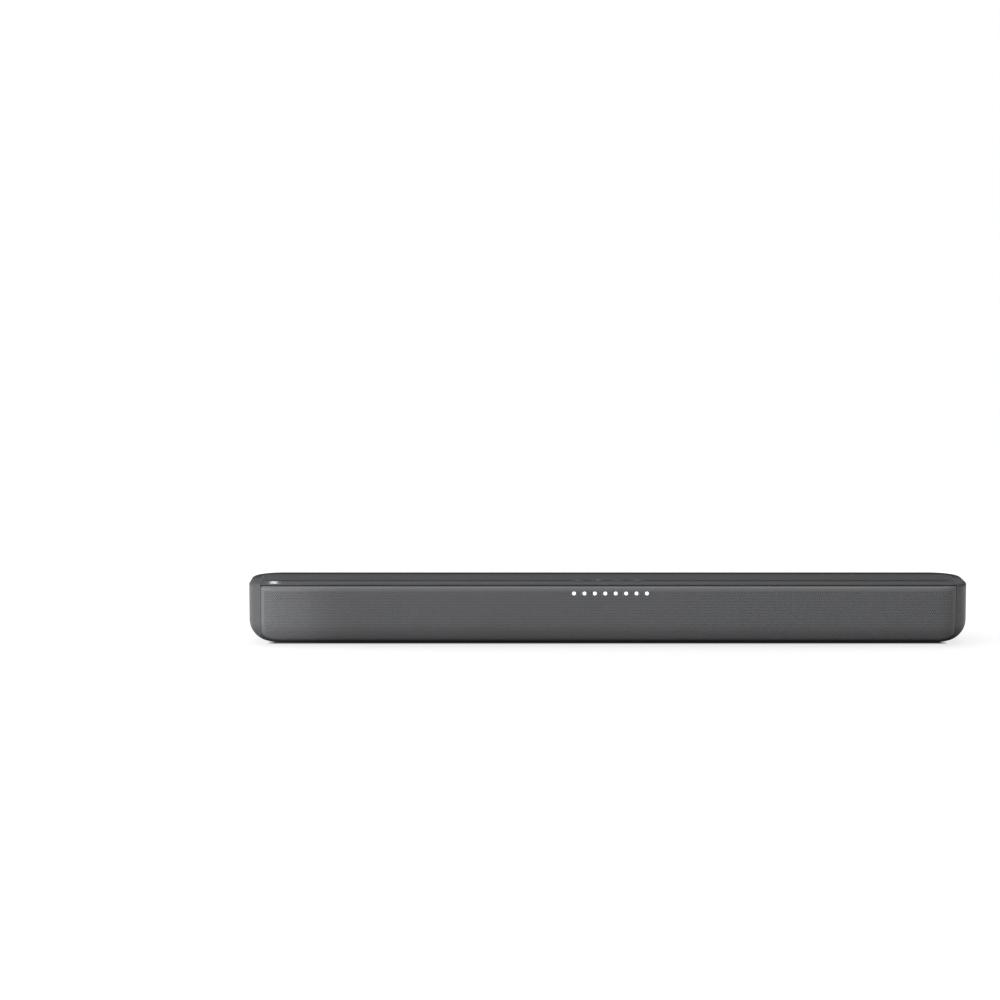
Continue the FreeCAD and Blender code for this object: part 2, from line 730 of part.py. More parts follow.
def make_woofer_spider(x):
    """Corrugated suspension ring between the voice coil and the basket."""
    inner, rim, outer = COIL_RADIUS + 0.2, 15.6, 18.3
    folds = 6
    depth = 0.8
    thickness = 0.4
    plane = spider_landing() - depth - thickness - 0.02
    ridge = [
        (inner + (rim - inner) * i / folds, plane + (0.0 if i % 2 else depth))
        for i in range(folds + 1)
    ]
    ridge.append((outer, plane + depth))
    back = [(radius, y + thickness) for radius, y in reversed(ridge)]
    return turned(ridge + back, x, DRIVER_HEIGHT)


def tweeter_dome_base():
    """The plane of the dome's edge."""
    return BAFFLE_Y - 0.2


def make_tweeter_housing(x):
    """Face plate and cup of the tweeter."""
    seat = BAFFLE_Y - WOOFER_FLANGE_THICKNESS
    floor = BAFFLE_Y + 10.5
    centre = (x, 0, DRIVER_HEIGHT)
    face = rod(TWEETER_FACE_RADIUS, seat, BAFFLE_Y, Y_AXIS, centre)
    cup = rod(TWEETER_CUP_RADIUS, seat, floor + 1.5, Y_AXIS, centre)
    hollow = rod(TWEETER_THROAT, seat - 1, floor, Y_AXIS, centre)
    holes = [rod(1.3, seat - 1, BAFFLE_Y + 1, Y_AXIS, place) for place in driver_screw_places()]
    return fuse([face, cup]).cut([hollow] + holes)


def make_tweeter_magnet(x):
    """Neodymium slug with its steel cup, seated in the bottom of the housing."""
    end = BAFFLE_Y + 10.5
    front = end - 8
    centre = (x, 0, DRIVER_HEIGHT)
    cup_radius = TWEETER_THROAT - 0.1
    slug = rod(TWEETER_DOME_RADIUS - 1.0, front, end, Y_AXIS, centre)
    cup = tube(cup_radius, TWEETER_DOME_RADIUS + 0.8, front, end, Y_AXIS, centre)
    floor = rod(cup_radius, end - 1.5, end, Y_AXIS, centre)
    return fuse([slug, cup, floor])


def make_tweeter_dome(x):
    """Silk dome on its coil former."""
    base = tweeter_dome_base()
    sphere = TWEETER_DOME_RADIUS + 1.4
    depth = sphere - math.sqrt(sphere**2 - TWEETER_DOME_RADIUS**2)
    centre = Vector(x, base - depth + sphere, DRIVER_HEIGHT)
    middle = (x, 0, DRIVER_HEIGHT)
    dome = Part.makeSphere(sphere, centre).cut(Part.makeSphere(sphere - 0.4, centre))
    dome = dome.common(rod(TWEETER_DOME_RADIUS, base - depth - 1, base, Y_AXIS, middle))
    former = tube(
        TWEETER_DOME_RADIUS, TWEETER_DOME_RADIUS - 0.3, base - 0.05, base + 4, Y_AXIS, middle
    )
    return fuse([dome, former])


def make_tweeter_surround(x):
    """Soft half-roll between the dome and the face plate's inner edge."""
    inner, outer = TWEETER_DOME_RADIUS + 0.05, TWEETER_THROAT - 0.1
    middle, roll = (inner + outer) / 2, (outer - inner) / 2
    face_back = tweeter_dome_base()
    steps = 10
    arc = [
        (
            middle - roll * math.cos(math.pi * i / steps),
            face_back - roll * math.sin(math.pi * i / steps),
        )
        for i in range(steps + 1)
    ]
    inside = [
        (
            middle + (roll - 0.35) * math.cos(math.pi * i / steps),
            face_back - (roll - 0.35) * math.sin(math.pi * i / steps),
        )
        for i in range(steps + 1)
    ]
    return turned(arc + inside, x, DRIVER_HEIGHT)


# Lights and keys


def make_light_board():
    """Narrow circuit board behind the indicator lights."""
    sheet = box(
        (LIGHT_CENTRE_X - 48, IR_X + 10), (LIGHT_BOARD_Y, LIGHT_BOARD_Y + 1.2), (56.0, 62.7)
    )
    holes = [
        rod(1.1, FRONT, LIGHT_BOARD_Y + 5, Y_AXIS, (x, 0, LIGHT_HEIGHT))
        for x in light_board_stakes()
    ]
    return sheet.cut(holes)


def make_lights():
    """One light-emitting diode behind each guide."""
    diodes = []
    for x in light_places():
        diodes.append(
            box(
                (x - 1.4, x + 1.4),
                (LIGHT_BOARD_Y - 0.8, LIGHT_BOARD_Y),
                (LIGHT_HEIGHT - 1, LIGHT_HEIGHT + 1),
            )
        )
    return group(diodes)


def make_light_guides():
    """Clear pins that carry each light out through the grille."""
    guides = []
    for x in light_places():
        pin = rod(LIGHT_RADIUS, FRONT - 0.15, LIGHT_BOARD_Y - 0.9, Y_AXIS, (x, 0, LIGHT_HEIGHT))
        front_edge = [e for e in pin.Edges if e.BoundBox.YMax < FRONT]
        guides.append(pin.makeFillet(0.35, front_edge))
    return group(guides)


def make_remote_receiver():
    """Infrared receiver with its rounded lens."""
    y = LIGHT_BOARD_Y
    body = box((IR_X - 3, IR_X + 3), (y - 1.6, y), (57.2, 62.4))
    lens = Part.makeSphere(1.9, Vector(IR_X, y - 1.5, 59.9))
    return fuse([body, lens.common(box((-FAR, FAR), (y - 4, y - 1.4), (0, FAR)))])


def make_key_board():
    """Circuit board under the keys."""
    sheet = box(
        (-46, 46), (STRIP_Y - 7, STRIP_Y + 9), (KEY_BOARD_TOP - BOARD_THICKNESS, KEY_BOARD_TOP)
    )
    holes = [rod(1.3, 40, HEIGHT, Z_AXIS, (x, STRIP_Y, 0)) for x in key_board_stakes()]
    return sheet.cut(holes)


def make_key_switches():
    """Four press switches, each with a well for its key's stem."""
    switches = []
    for x in key_places():
        block = box((x - 3, x + 3), (STRIP_Y - 3, STRIP_Y + 3), (KEY_BOARD_TOP, SWITCH_TOP))
        well = rod(KEY_STEM_RADIUS + 0.25, SWITCH_TOP - 1.4, HEIGHT, Z_AXIS, (x, STRIP_Y, 0))
        switches.append(block.cut(well))
    return group(switches)


# Electronics


def board_screw_places():
    """The middles of the screws that hold the two circuit boards down."""
    main = [(-40, -6), (80, -6), (80, 18), (-40, 18)]
    power = [(-145, -9), (-54, -9), (-145, 14), (-53, 18)]
    return main + power


def board(x, y):
    """A circuit board with its screw holes."""
    sheet = box(x, y, (BOARD_TOP - BOARD_THICKNESS, BOARD_TOP))
    holes = [rod(1.3, 0, HEIGHT, Z_AXIS, (px, py, 0)) for px, py in board_screw_places()]
    return sheet.cut(holes)


def make_main_board():
    """Amplifier and signal board."""
    return board((-46, 86), (-12, BAY_WALL_BACK - 0.5))


def make_power_board():
    """Mains supply board."""
    return board((-150, -50), (-14, BAY_WALL_BACK - 0.5))


def make_board_chips():
    """Processor, amplifier, memory and radio module on the main board."""
    low = BOARD_TOP
    chips = [
        box((-20, -4), (-8, 6), (low, low + 1.4)),
        box((20, 32), (-8, 4), (low, low + 1.2)),
        box((4, 12), (-6, 2), (low, low + 1.0)),
        box((60, 76), (-6, 8), (low, low + 2.2)),
    ]
    cans = [rod(4.0, low, low + 11, Z_AXIS, (x, -4, 0)) for x in (40, 50)]
    return group(chips + cans)


def make_heat_sink():
    """Finned aluminium block on the amplifier chip."""
    base = box((-24, 0), (-10, 8), (BOARD_TOP + 1.45, BOARD_TOP + 4.5))
    fins = [
        box((-24 + 4 * i, -22.6 + 4 * i), (-10, 8), (BOARD_TOP + 4.4, BOARD_TOP + 18))
        for i in range(7)
    ]
    fins = [fin.common(box((-24, 0), (-20, 20), (0, HEIGHT))) for fin in fins]
    return fuse([base] + fins)


def make_power_transformer():
    """Switching transformer: core and wound bobbin."""
    low = BOARD_TOP
    core = box((-112, -84), (-10, 12), (low + 2, low + 24))
    window = box((-108, -88), (-11, 13), (low + 6, low + 20))
    limb = box((-101, -95), (-10, 12), (low + 5, low + 21))
    bobbin = box((-107.5, -88.5), (-8, 10), (low + 7, low + 19))
    stand = box((-110, -86), (-9, 11), (low, low + 2.1))
    return fuse([core.cut(window), limb, bobbin, stand])


def make_power_capacitors():
    """Reservoir and filter capacitors of the supply."""
    places = [(-130, -4, 7.5, 26), (-130, 12, 5.0, 18), (-66, -2, 6.0, 22), (-77, -7, 3.5, 14)]
    return group(
        [rod(r, BOARD_TOP, BOARD_TOP + h, Z_AXIS, (x, y, 0)) for x, y, r, h in places]
    )


def make_board_screws():
    """Eight screws that hold the circuit boards down."""
    screws = []
    for x, y in board_screw_places():
        head = rod(2.4, BOARD_TOP, BOARD_TOP + 1.6, Z_AXIS, (x, y, 0))
        shank = rod(1.1, FOOT_HEIGHT + WALL + 2, BOARD_TOP + 0.1, Z_AXIS, (x, y, 0))
        screws.append(fuse([head, shank]))
    return group(screws)


def make_connector_bay():
    """Moulded hood of the recess in the back: its roof and its two ends."""
    outer = bay_block(BAY_WALL_FACE, FAR)
    inner = box(
        (-BAY_HALF_WIDTH, BAY_HALF_WIDTH), (BAY_WALL_FACE - 1, FAR), (-FAR, BAY_TOP - BAY_WALL)
    )
    return outer.cut(inner)


def make_socket_panel():
    """Flat panel at the bottom of the recess, cut out for the sockets."""
    gap = 0.2
    cutters = [
        socket_block(INLET_X, 10 + gap, INLET_NOSE_HALF + gap),
        socket_block(OPTICAL_X, 5.6 + gap, 5.6 + gap),
        socket_block(HDMI_X, 7.6 + gap, 2.9 + gap),
        socket_block(USB_X, 6.8 + gap, 3.4 + gap),
        rod(4.2 + gap, BAY_WALL_BACK - 1, REAR, Y_AXIS, (AUX_X, 0, SOCKET_HEIGHT)),
    ]
    return bay_block(BAY_WALL_BACK, BAY_WALL_FACE).cut(cutters)


def bay_block(start, end):
    """A block as wide and high as the recess with its walls, inside the case."""
    reach = BAY_HALF_WIDTH + BAY_WALL
    block = box((-reach, reach), (start, end), (0, BAY_TOP))
    return block.common(rounded_body(WALL + 0.1))


def socket_block(x, half_x, half_z):
    """A block through the bay wall at one socket."""
    return box(
        (x - half_x, x + half_x),
        (BAY_WALL_BACK - 1, BAY_WALL_FACE + 1),
        (SOCKET_HEIGHT - half_z, SOCKET_HEIGHT + half_z),
    )


def make_mains_inlet():
    """Two-pin mains inlet with its oval well."""
    body = box(
        (INLET_X - 12, INLET_X + 12),
        (BAY_WALL_BACK - 17, BAY_WALL_BACK - 0.1),
        (BOARD_TOP + 0.05, SOCKET_HEIGHT + 9),
    )
    nose = plate(
        10.0,
        INLET_NOSE_HALF,
        2.0,
        BAY_WALL_BACK - 1,
        BAY_WALL_FACE + 0.4,
        (INLET_X, SOCKET_HEIGHT),
    )
    well = plate(8.3, 4.3, 4.2, BAY_WALL_FACE - 12, REAR, (INLET_X, SOCKET_HEIGHT))
    return fuse([body, nose]).cut(well)


def make_inlet_pins():
    """The two contact pins of the mains inlet."""
    pins = []
    for side in (-1, 1):
        centre = (INLET_X + side * 4.3, 0, SOCKET_HEIGHT)
        pins.append(rod(1.2, BAY_WALL_FACE - 11.95, BAY_WALL_FACE - 1.5, Y_AXIS, centre))
    return group(pins)


def shielded_socket(x, half_x, half_z, tongue_z, tongue_half, length):
    """A sheet-metal shell with a contact tongue, open towards the back."""
    start, end = BAY_WALL_FACE - length, BAY_WALL_FACE + 0.3
    low, high = SOCKET_HEIGHT - half_z, SOCKET_HEIGHT + half_z
    wall = 0.6
    block = box((x - half_x, x + half_x), (start, end), (low, high))
    hollow = box(
        (x - half_x + wall, x + half_x - wall), (start + 2, end + 1), (low + wall, high - wall)
    )
    tongue = box(
        (x - half_x + 2.2, x + half_x - 2.2),
        (start + 1, end - 1.2),
        (tongue_z - tongue_half, tongue_z + tongue_half),
    )
    legs = [
        box((x + s * (half_x - 1.0) - 0.5, x + s * (half_x - 1.0) + 0.5),
            (start + 2, start + 4), (BOARD_TOP + 0.05, low + 0.1))
        for s in (-1, 1)
    ]
    return fuse([block.cut(hollow), tongue] + legs)


def make_hdmi_socket():
    """Picture and sound socket."""
    return shielded_socket(HDMI_X, 7.5, 2.8, SOCKET_HEIGHT, 0.45, 12)


def make_usb_socket():
    """Flat memory-stick socket."""
    return shielded_socket(USB_X, 6.7, 3.3, SOCKET_HEIGHT + 1.3, 0.9, 14)


def make_aux_jack():
    """Round analogue jack."""
    body = box(
        (AUX_X - 5, AUX_X + 5),
        (BAY_WALL_FACE - AUX_BORE_LENGTH - 1.5, BAY_WALL_BACK - 0.1),
        (BOARD_TOP + 0.05, SOCKET_HEIGHT + 5),
    )
    nose = rod(4.2, BAY_WALL_BACK - 1, BAY_WALL_FACE + 0.5, Y_AXIS, (AUX_X, 0, SOCKET_HEIGHT))
    bore = rod(
        AUX_BORE_RADIUS,
        BAY_WALL_FACE + 0.5 - AUX_BORE_LENGTH,
        REAR,
        Y_AXIS,
        (AUX_X, 0, SOCKET_HEIGHT),
    )
    return fuse([body, nose]).cut(bore)


def make_optical_socket():
    """Square socket for an optical plug, with the lamp's bore at its inner end."""
    start, end = BAY_WALL_FACE - 13, BAY_WALL_FACE + 0.3
    low, high = SOCKET_HEIGHT - 5.5, SOCKET_HEIGHT + 5.5
    block = box((OPTICAL_X - 5.5, OPTICAL_X + 5.5), (start, end), (low, high))
    hollow = box(
        (OPTICAL_X - 4.6, OPTICAL_X + 4.6), (start + 2, end + 1), (low + 0.9, high - 0.9)
    )
    lamp = rod(0.7, start + 1, start + 3, Y_AXIS, (OPTICAL_X, 0, SOCKET_HEIGHT))
    bores = rod(SHUTTER_PIN_RADIUS + 0.05, -5.2, 5.2, X_AXIS, shutter_pivot())
    return block.cut([hollow, lamp, bores])


def shutter_pivot():
    """The middle of the shutter's pin, behind the socket panel."""
    return (OPTICAL_X, BAY_WALL_BACK - 0.6, SOCKET_HEIGHT + 3.95)


def make_optical_shutter():
    """Hinged flap that closes the optical socket and swings in when a plug enters."""
    middle, pivot_y, pivot_z = shutter_pivot()
    flap = box(
        (middle - 4.3, middle + 4.3),
        (pivot_y - 0.3, pivot_y + 0.5),
        (SOCKET_HEIGHT - 4.4, pivot_z + 0.2),
    )
    return fuse([flap, rod(SHUTTER_PIN_RADIUS, -5.1, 5.1, X_AXIS, (middle, pivot_y, pivot_z))])


def wire_run(points, radius):
    """A round wire along straight runs with arcs at the corners."""
    path = [Vector(*p) for p in points]
    edges = []
    start = path[0]
    for before, corner, after in zip(path, path[1:], path[2:]):
        incoming = (corner - before).normalize()
        outgoing = (after - corner).normalize()
        half_turn = incoming.getAngle(outgoing) / 2
        shorter = min((corner - before).Length, (after - corner).Length)
        trim = 0.45 * shorter
        arc_start = corner - incoming * trim
        arc_end = corner + outgoing * trim
        bend = trim / math.tan(half_turn)
        inward = (outgoing - incoming).normalize()
        centre = corner + inward * math.hypot(trim, bend)
        middle = centre + (corner - centre).normalize() * bend
        edges.append(Part.LineSegment(start, arc_start).toShape())
        edges.append(Part.Arc(arc_start, middle, arc_end).toShape())
        start = arc_end
    edges.append(Part.LineSegment(start, path[-1]).toShape())
    spine = Part.Wire(edges)
    direction = (path[1] - path[0]).normalize()
    section = Part.Wire(Part.makeCircle(radius, path[0], direction))
    return spine.makePipeShell([section], True, True)


def make_speaker_wires():
    """Pairs of wires from the main board to the two woofers."""
    wires = []
    end = motor_front() + 0.05
    for offset in (0.0, 3.0):
        right = [
            (82, 3 + offset, BOARD_TOP + 0.05),
            (82, 3 + offset, 24 + offset),
            (104, 1 + offset, 30 + offset),
            (150, 7 + offset, 30 + offset),
            (WOOFER_X - 30, 3 + offset, 28 + offset),
            (WOOFER_X - 30, end, 28 + offset),
        ]
        left = [
            (-34, 6 + offset, BOARD_TOP + 0.05),
            (-34, 6 + offset, 46 + offset),
            (-70, 12 + offset, 50 + offset),
            (-140, 8 + offset, 50 + offset),
            (-WOOFER_X + 30, 3 + offset, 46 + offset),
            (-WOOFER_X + 30, end, 46 + offset),
        ]
        wires.append(wire_run(right, 0.8))
        wires.append(wire_run(left, 0.8))
    return group(wires)


def shared_driver_parts():
    """Driver pieces that stay still, one of each kind on either side."""
    return (
        ("woofer_baskets", make_woofer_basket),
        ("woofer_top_plates", make_woofer_top_plate),
        ("woofer_magnets", make_woofer_magnet),
        ("woofer_yokes", make_woofer_yoke),
        ("tweeter_housings", make_tweeter_housing),
        ("tweeter_magnets", make_tweeter_magnet),
    )


def sub_parts():
    """Every sub-part by name."""
    right_cap = make_right_end_cap()
    parts = {
        "top_cover": make_top_cover(),
        "bottom_case": make_bottom_case(),
        "right_end_cap": right_cap,
        "left_end_cap": mirrored(right_cap),
        "front_grille": make_front_grille(),
        "grille_cloth": make_grille_cloth(),
        "grille_frame": make_grille_frame(),
        "accent_strip": make_accent_strip(),
        "rubber_feet": make_feet(),
        "case_screws": make_case_screws(),
        "wall_plates": make_wall_plates(),
        "front_baffle": make_front_baffle(),
        "driver_screws": make_driver_screws(),
        "light_board": make_light_board(),
        "indicator_lights": make_lights(),
        "light_guides": make_light_guides(),
        "remote_receiver": make_remote_receiver(),
        "key_board": make_key_board(),
        "key_switches": make_key_switches(),
        "main_board": make_main_board(),
        "power_board": make_power_board(),
        "board_chips": make_board_chips(),
        "heat_sink": make_heat_sink(),
        "power_transformer": make_power_transformer(),
        "power_capacitors": make_power_capacitors(),
        "board_screws": make_board_screws(),
        "connector_bay": make_connector_bay(),
        "socket_panel": make_socket_panel(),
        "mains_inlet": make_mains_inlet(),
        "inlet_pins": make_inlet_pins(),
        "hdmi_socket": make_hdmi_socket(),
        "usb_socket": make_usb_socket(),
        "aux_jack": make_aux_jack(),
        "optical_socket": make_optical_socket(),
        "optical_shutter": make_optical_shutter(),
        "speaker_wires": make_speaker_wires(),
    }
    for name, x in zip(KEYS, key_places()):
        parts[name] = make_key(x)
    for name, maker in shared_driver_parts():
        reach = WOOFER_X if name.startswith("woofer") else TWEETER_X
        parts[name] = group([maker(-reach), maker(reach)])
    for side, sign in (("left", -1), ("right", 1)):
        parts[f"{side}_woofer_cone"] = make_woofer_cone(sign * WOOFER_X)
        parts[f"{side}_woofer_dust_cap"] = make_dust_cap(sign * WOOFER_X)
        parts[f"{side}_woofer_voice_coil"] = make_voice_coil(sign * WOOFER_X)
        parts[f"{side}_woofer_surround"] = make_woofer_surround(sign * WOOFER_X)
        parts[f"{side}_woofer_spider"] = make_woofer_spider(sign * WOOFER_X)
        parts[f"{side}_tweeter_dome"] = make_tweeter_dome(sign * TWEETER_X)
        parts[f"{side}_tweeter_surround"] = make_tweeter_surround(sign * TWEETER_X)
    return parts


def main():
    os.makedirs("parts", exist_ok=True)
    for name, shape in sub_parts().items():
        state = "ok" if shape.isValid() else "NOT VALID"
        print(name, len(shape.Solids), round(shape.Volume / 1000, 2), "cm3", state)
        shape.exportStep(f"parts/{name}.step")


main()
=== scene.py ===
"""Looks for the soundbar: a perforated grille, printed key symbols, and a procedural
material for every piece, in a plain pale studio. Lengths are in metres, in the frame of
the part, and small ones are written as millimetres times MM. Only the grille's sheet and
the key symbols' strokes are worked out in millimetres."""

import json
import math

import bpy
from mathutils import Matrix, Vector


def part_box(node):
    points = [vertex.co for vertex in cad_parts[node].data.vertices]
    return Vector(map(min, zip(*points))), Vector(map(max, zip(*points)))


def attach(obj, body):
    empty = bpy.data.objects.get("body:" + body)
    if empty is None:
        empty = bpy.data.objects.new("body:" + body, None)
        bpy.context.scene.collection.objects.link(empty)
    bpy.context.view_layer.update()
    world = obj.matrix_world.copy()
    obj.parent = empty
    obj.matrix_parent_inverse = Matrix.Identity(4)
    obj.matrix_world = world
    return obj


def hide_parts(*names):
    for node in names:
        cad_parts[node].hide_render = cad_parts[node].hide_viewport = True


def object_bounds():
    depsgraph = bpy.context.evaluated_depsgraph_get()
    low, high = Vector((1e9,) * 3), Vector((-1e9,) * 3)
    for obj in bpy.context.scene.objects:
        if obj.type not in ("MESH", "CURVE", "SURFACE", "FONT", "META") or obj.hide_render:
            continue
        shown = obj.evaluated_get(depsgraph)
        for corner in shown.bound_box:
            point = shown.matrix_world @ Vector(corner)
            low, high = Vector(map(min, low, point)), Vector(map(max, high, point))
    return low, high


MM = 0.001
HOUSING = "housing"
KEYS = ("power_button", "source_button", "volume_down_button", "volume_up_button")

# The case's plan corners and its half depth, in metres.
CORNER = 34 * MM
CASE_HALF_DEPTH = 50 * MM

# The top's looks fade in between these depths below the case's highest point.
TOP_ZONE = (6 * MM, 5 * MM)

# The top's dark rim is painted shade: a near-black band that stands in for the shade of
# the top's back and end edges, which turn away from the light. Its colour, how far it
# reaches in from the back and from the ends, how softly it stops there, and the depths
# between which it dies out along the ends.
PAINTED_RIM_SHADE = (0.006, 0.006, 0.007)
REAR_RIM = 22 * MM
REAR_RIM_SOFT = 3 * MM
END_RIM = 13 * MM
END_RIM_SOFT = 2 * MM
END_RIM_FADE = (-10 * MM, 20 * MM)

# The polished band in front of the strip, which also has a painted highlight, a
# slightly lighter tone: how softly it stops there, and its roughness.
BAND_SOFT = 0.5 * MM
BAND_ROUGHNESS = 0.12

# Blender's wave texture at scale 1 repeats after this length.
WAVE_PERIOD = math.pi / 10

# Faces that meet at more than this are shaded as a sharp edge.
SHARP_ANGLE = math.radians(35)

# The perforated sheet is cut at these places along the bar, in millimetres.
GRILLE_CUTS = (-128.0, 128.0)

# A key symbol's line: its width, how far it stands proud and how deep it is rooted.
SYMBOL_WIDTH = 0.38 * MM
SYMBOL_HEIGHT = 0.05 * MM
SYMBOL_ROOT = 0.01 * MM

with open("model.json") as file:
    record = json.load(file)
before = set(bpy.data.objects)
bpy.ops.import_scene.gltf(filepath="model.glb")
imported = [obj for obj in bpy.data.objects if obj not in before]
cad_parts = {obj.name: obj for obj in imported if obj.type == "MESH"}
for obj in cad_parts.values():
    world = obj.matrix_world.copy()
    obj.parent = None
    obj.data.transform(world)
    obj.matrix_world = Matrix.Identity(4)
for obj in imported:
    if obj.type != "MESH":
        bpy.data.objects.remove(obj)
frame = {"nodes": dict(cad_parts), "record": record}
NODES = frame["nodes"]
cad_low, cad_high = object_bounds()


# ---------------------------------------------------------------- node helpers


class Graph:
    """A material's node tree, with short calls for the nodes used here."""

    def __init__(self, name):
        self.material = bpy.data.materials.new(name)
        self.material.use_nodes = True
        self.tree = self.material.node_tree
        self.shader = self.tree.nodes["Principled BSDF"]
        self.place = self.add("ShaderNodeTexCoord").outputs["Object"]

    def add(self, kind, **settings):
        node = self.tree.nodes.new(kind)
        for key, value in settings.items():
            setattr(node, key, value)
        return node

    def join(self, source, target):
        self.tree.links.new(source, target)

    def stretched(self, scale):
        """Object coordinates scaled by a different amount along each axis."""
        node = self.add("ShaderNodeMapping")
        self.join(self.place, node.inputs["Vector"])
        node.inputs["Scale"].default_value = scale
        return node.outputs["Vector"]

    def noise(self, size, detail=2.0, roughness=0.5, vector=None):
        """Soft noise with features of about size metres."""
        node = self.add("ShaderNodeTexNoise")
        self.join(vector or self.place, node.inputs["Vector"])
        node.inputs["Scale"].default_value = 1.0 / size
        node.inputs["Detail"].default_value = detail
        node.inputs["Roughness"].default_value = roughness
        return node.outputs["Fac"]

    def cells(self, size, feature="F1"):
        """Distance to scattered points about size metres apart, or to the cells' edges."""
        node = self.add("ShaderNodeTexVoronoi", feature=feature)
        self.join(self.place, node.inputs["Vector"])
        node.inputs["Scale"].default_value = 1.0 / size
        return node.outputs["Distance"]

    def wave(self, size, axis, distortion):
        """Bands across an axis, one every size metres."""
        node = self.add("ShaderNodeTexWave", bands_direction=axis)
        self.join(self.place, node.inputs["Vector"])
        node.inputs["Scale"].default_value = WAVE_PERIOD / size
        node.inputs["Distortion"].default_value = distortion
        return node.outputs["Fac"]

    def ranged(self, value, low, high, start=0.0, end=1.0):
        """A value remapped from start..end to low..high."""
        node = self.add("ShaderNodeMapRange")
        self.join(value, node.inputs["Value"])
        for key, number in (
            ("From Min", start),
            ("From Max", end),
            ("To Min", low),
            ("To Max", high),
        ):
            node.inputs[key].default_value = number
        return node.outputs["Result"]

    def math(self, operation, first, second):
        """Two values, or a value and a number, combined."""
        node = self.add("ShaderNodeMath", operation=operation)
        self.join(first, node.inputs[0])
        if isinstance(second, (int, float)):
            node.inputs[1].default_value = second
        else:
            self.join(second, node.inputs[1])
        return node.outputs[0]

    def mixed(self, factor, dark, light):
        """A colour between two, by a factor; each may be a colour or a socket."""
        node = self.add("ShaderNodeMix", data_type="RGBA")
        self.join(factor, node.inputs["Factor"])
        for socket, colour in ((node.inputs[6], dark), (node.inputs[7], light)):
            if isinstance(colour, bpy.types.NodeSocket):
                self.join(colour, socket)
            else:
                socket.default_value = (*colour, 1.0)
        return node.outputs[2]

    def bump(self, heights, strength, depth):
        """Heights as a bump on the shader."""
        node = self.add("ShaderNodeBump")
        self.join(heights, node.inputs["Height"])
        node.inputs["Strength"].default_value = strength
        node.inputs["Distance"].default_value = depth
        self.join(node.outputs["Normal"], self.shader.inputs["Normal"])

    def colour(self, socket):
        self.join(socket, self.shader.inputs["Base Color"])

    def roughness(self, socket):
        self.join(socket, self.shader.inputs["Roughness"])

    def fix(self, **values):
        """Numbers that are the same all over the surface."""
        for key, value in values.items():
            self.shader.inputs[key.replace("_", " ")].default_value = value


def tinted(colour, factor):
    """A colour made lighter or darker."""
    return tuple(min(1.0, c * factor) for c in colour)


def plastic(name, colour, rough, grain=0.35 * MM, relief=0.35, specular=0.5):
    """Moulded plastic with spark-eroded texture, faint blotches and uneven polish."""
    g = Graph(name)
    blotches = g.noise(60 * MM, 3.0)
    g.colour(g.mixed(blotches, tinted(colour, 0.9), tinted(colour, 1.1)))
    g.roughness(g.ranged(g.noise(25 * MM, 4.0), rough - 0.05, rough + 0.05, 0.3, 0.7))
    g.bump(g.noise(grain, 2.0, 0.6), relief, 0.03 * MM)
    g.fix(Specular_IOR_Level=specular)
    return g.material


def case_zones(g):
    """Masks over the case's top: the band in front of the strip, which has a painted
    highlight, and the dark rim, which is painted shade.
    """
    parts = g.add("ShaderNodeSeparateXYZ")
    g.join(g.place, parts.inputs[0])
    x, y, z = parts.outputs
    on_top = g.ranged(z, 0.0, 1.0, *(cad_high.z - depth for depth in TOP_ZONE))
    strip_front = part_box("accent_strip")[0].y
    band = g.ranged(y, 1.0, 0.0, strip_front - BAND_SOFT, strip_front)
    # The rim marks where the painted shade goes: near the ends' outline and along the back.
    centre = (cad_high.x - CORNER, CASE_HALF_DEPTH - CORNER)
    beyond = [
        g.math("MAXIMUM", g.math("SUBTRACT", g.math("ABSOLUTE", v, 0.0), c), 0.0)
        for v, c in zip((x, y), centre)
    ]
    away = g.math("SQRT", g.math("ADD", *[g.math("MULTIPLY", v, v) for v in beyond]), 0.0)
    ends = g.ranged(away, 0.0, 1.0, CORNER - END_RIM, CORNER - END_RIM + END_RIM_SOFT)
    ends = g.math("MULTIPLY", ends, g.ranged(y, 0.0, 1.0, *END_RIM_FADE))
    start = CASE_HALF_DEPTH - REAR_RIM
    rim = g.math("MAXIMUM", ends, g.ranged(y, 0.0, 1.0, start, start + REAR_RIM_SOFT))
    return g.math("MULTIPLY", band, on_top), g.math("MULTIPLY", rim, on_top)


def case_finish(name, colour, rough, grain, relief, polish):
    """Spark-textured plastic with a dark rim of painted shade on top; polish is 1 to polish
    the front band and give it a painted highlight, a slightly lighter tone.
    """
    g = Graph(name)
    band, rim = case_zones(g)
    band = g.math("MULTIPLY", band, polish)
    shade = g.mixed(g.noise(60 * MM, 3.0), tinted(colour, 0.96), tinted(colour, 1.04))
    # Painted highlight: the polished band is a tenth lighter. Painted shade: the rim is near
    # black.
    g.colour(g.mixed(rim, g.mixed(band, shade, tinted(colour, 1.1)), PAINTED_RIM_SHADE))
    dull = g.ranged(g.noise(25 * MM, 4.0), rough - 0.015, rough + 0.015, 0.3, 0.7)
    g.roughness(g.math("SUBTRACT", dull, g.math("MULTIPLY", band, rough - BAND_ROUGHNESS)))
    texture = g.math("MULTIPLY", g.noise(grain, 2.0, 0.6), g.ranged(band, 1.0, 0.05))
    g.bump(texture, relief, 0.03 * MM)
    g.fix(Specular_IOR_Level=0.35)
    return g.material


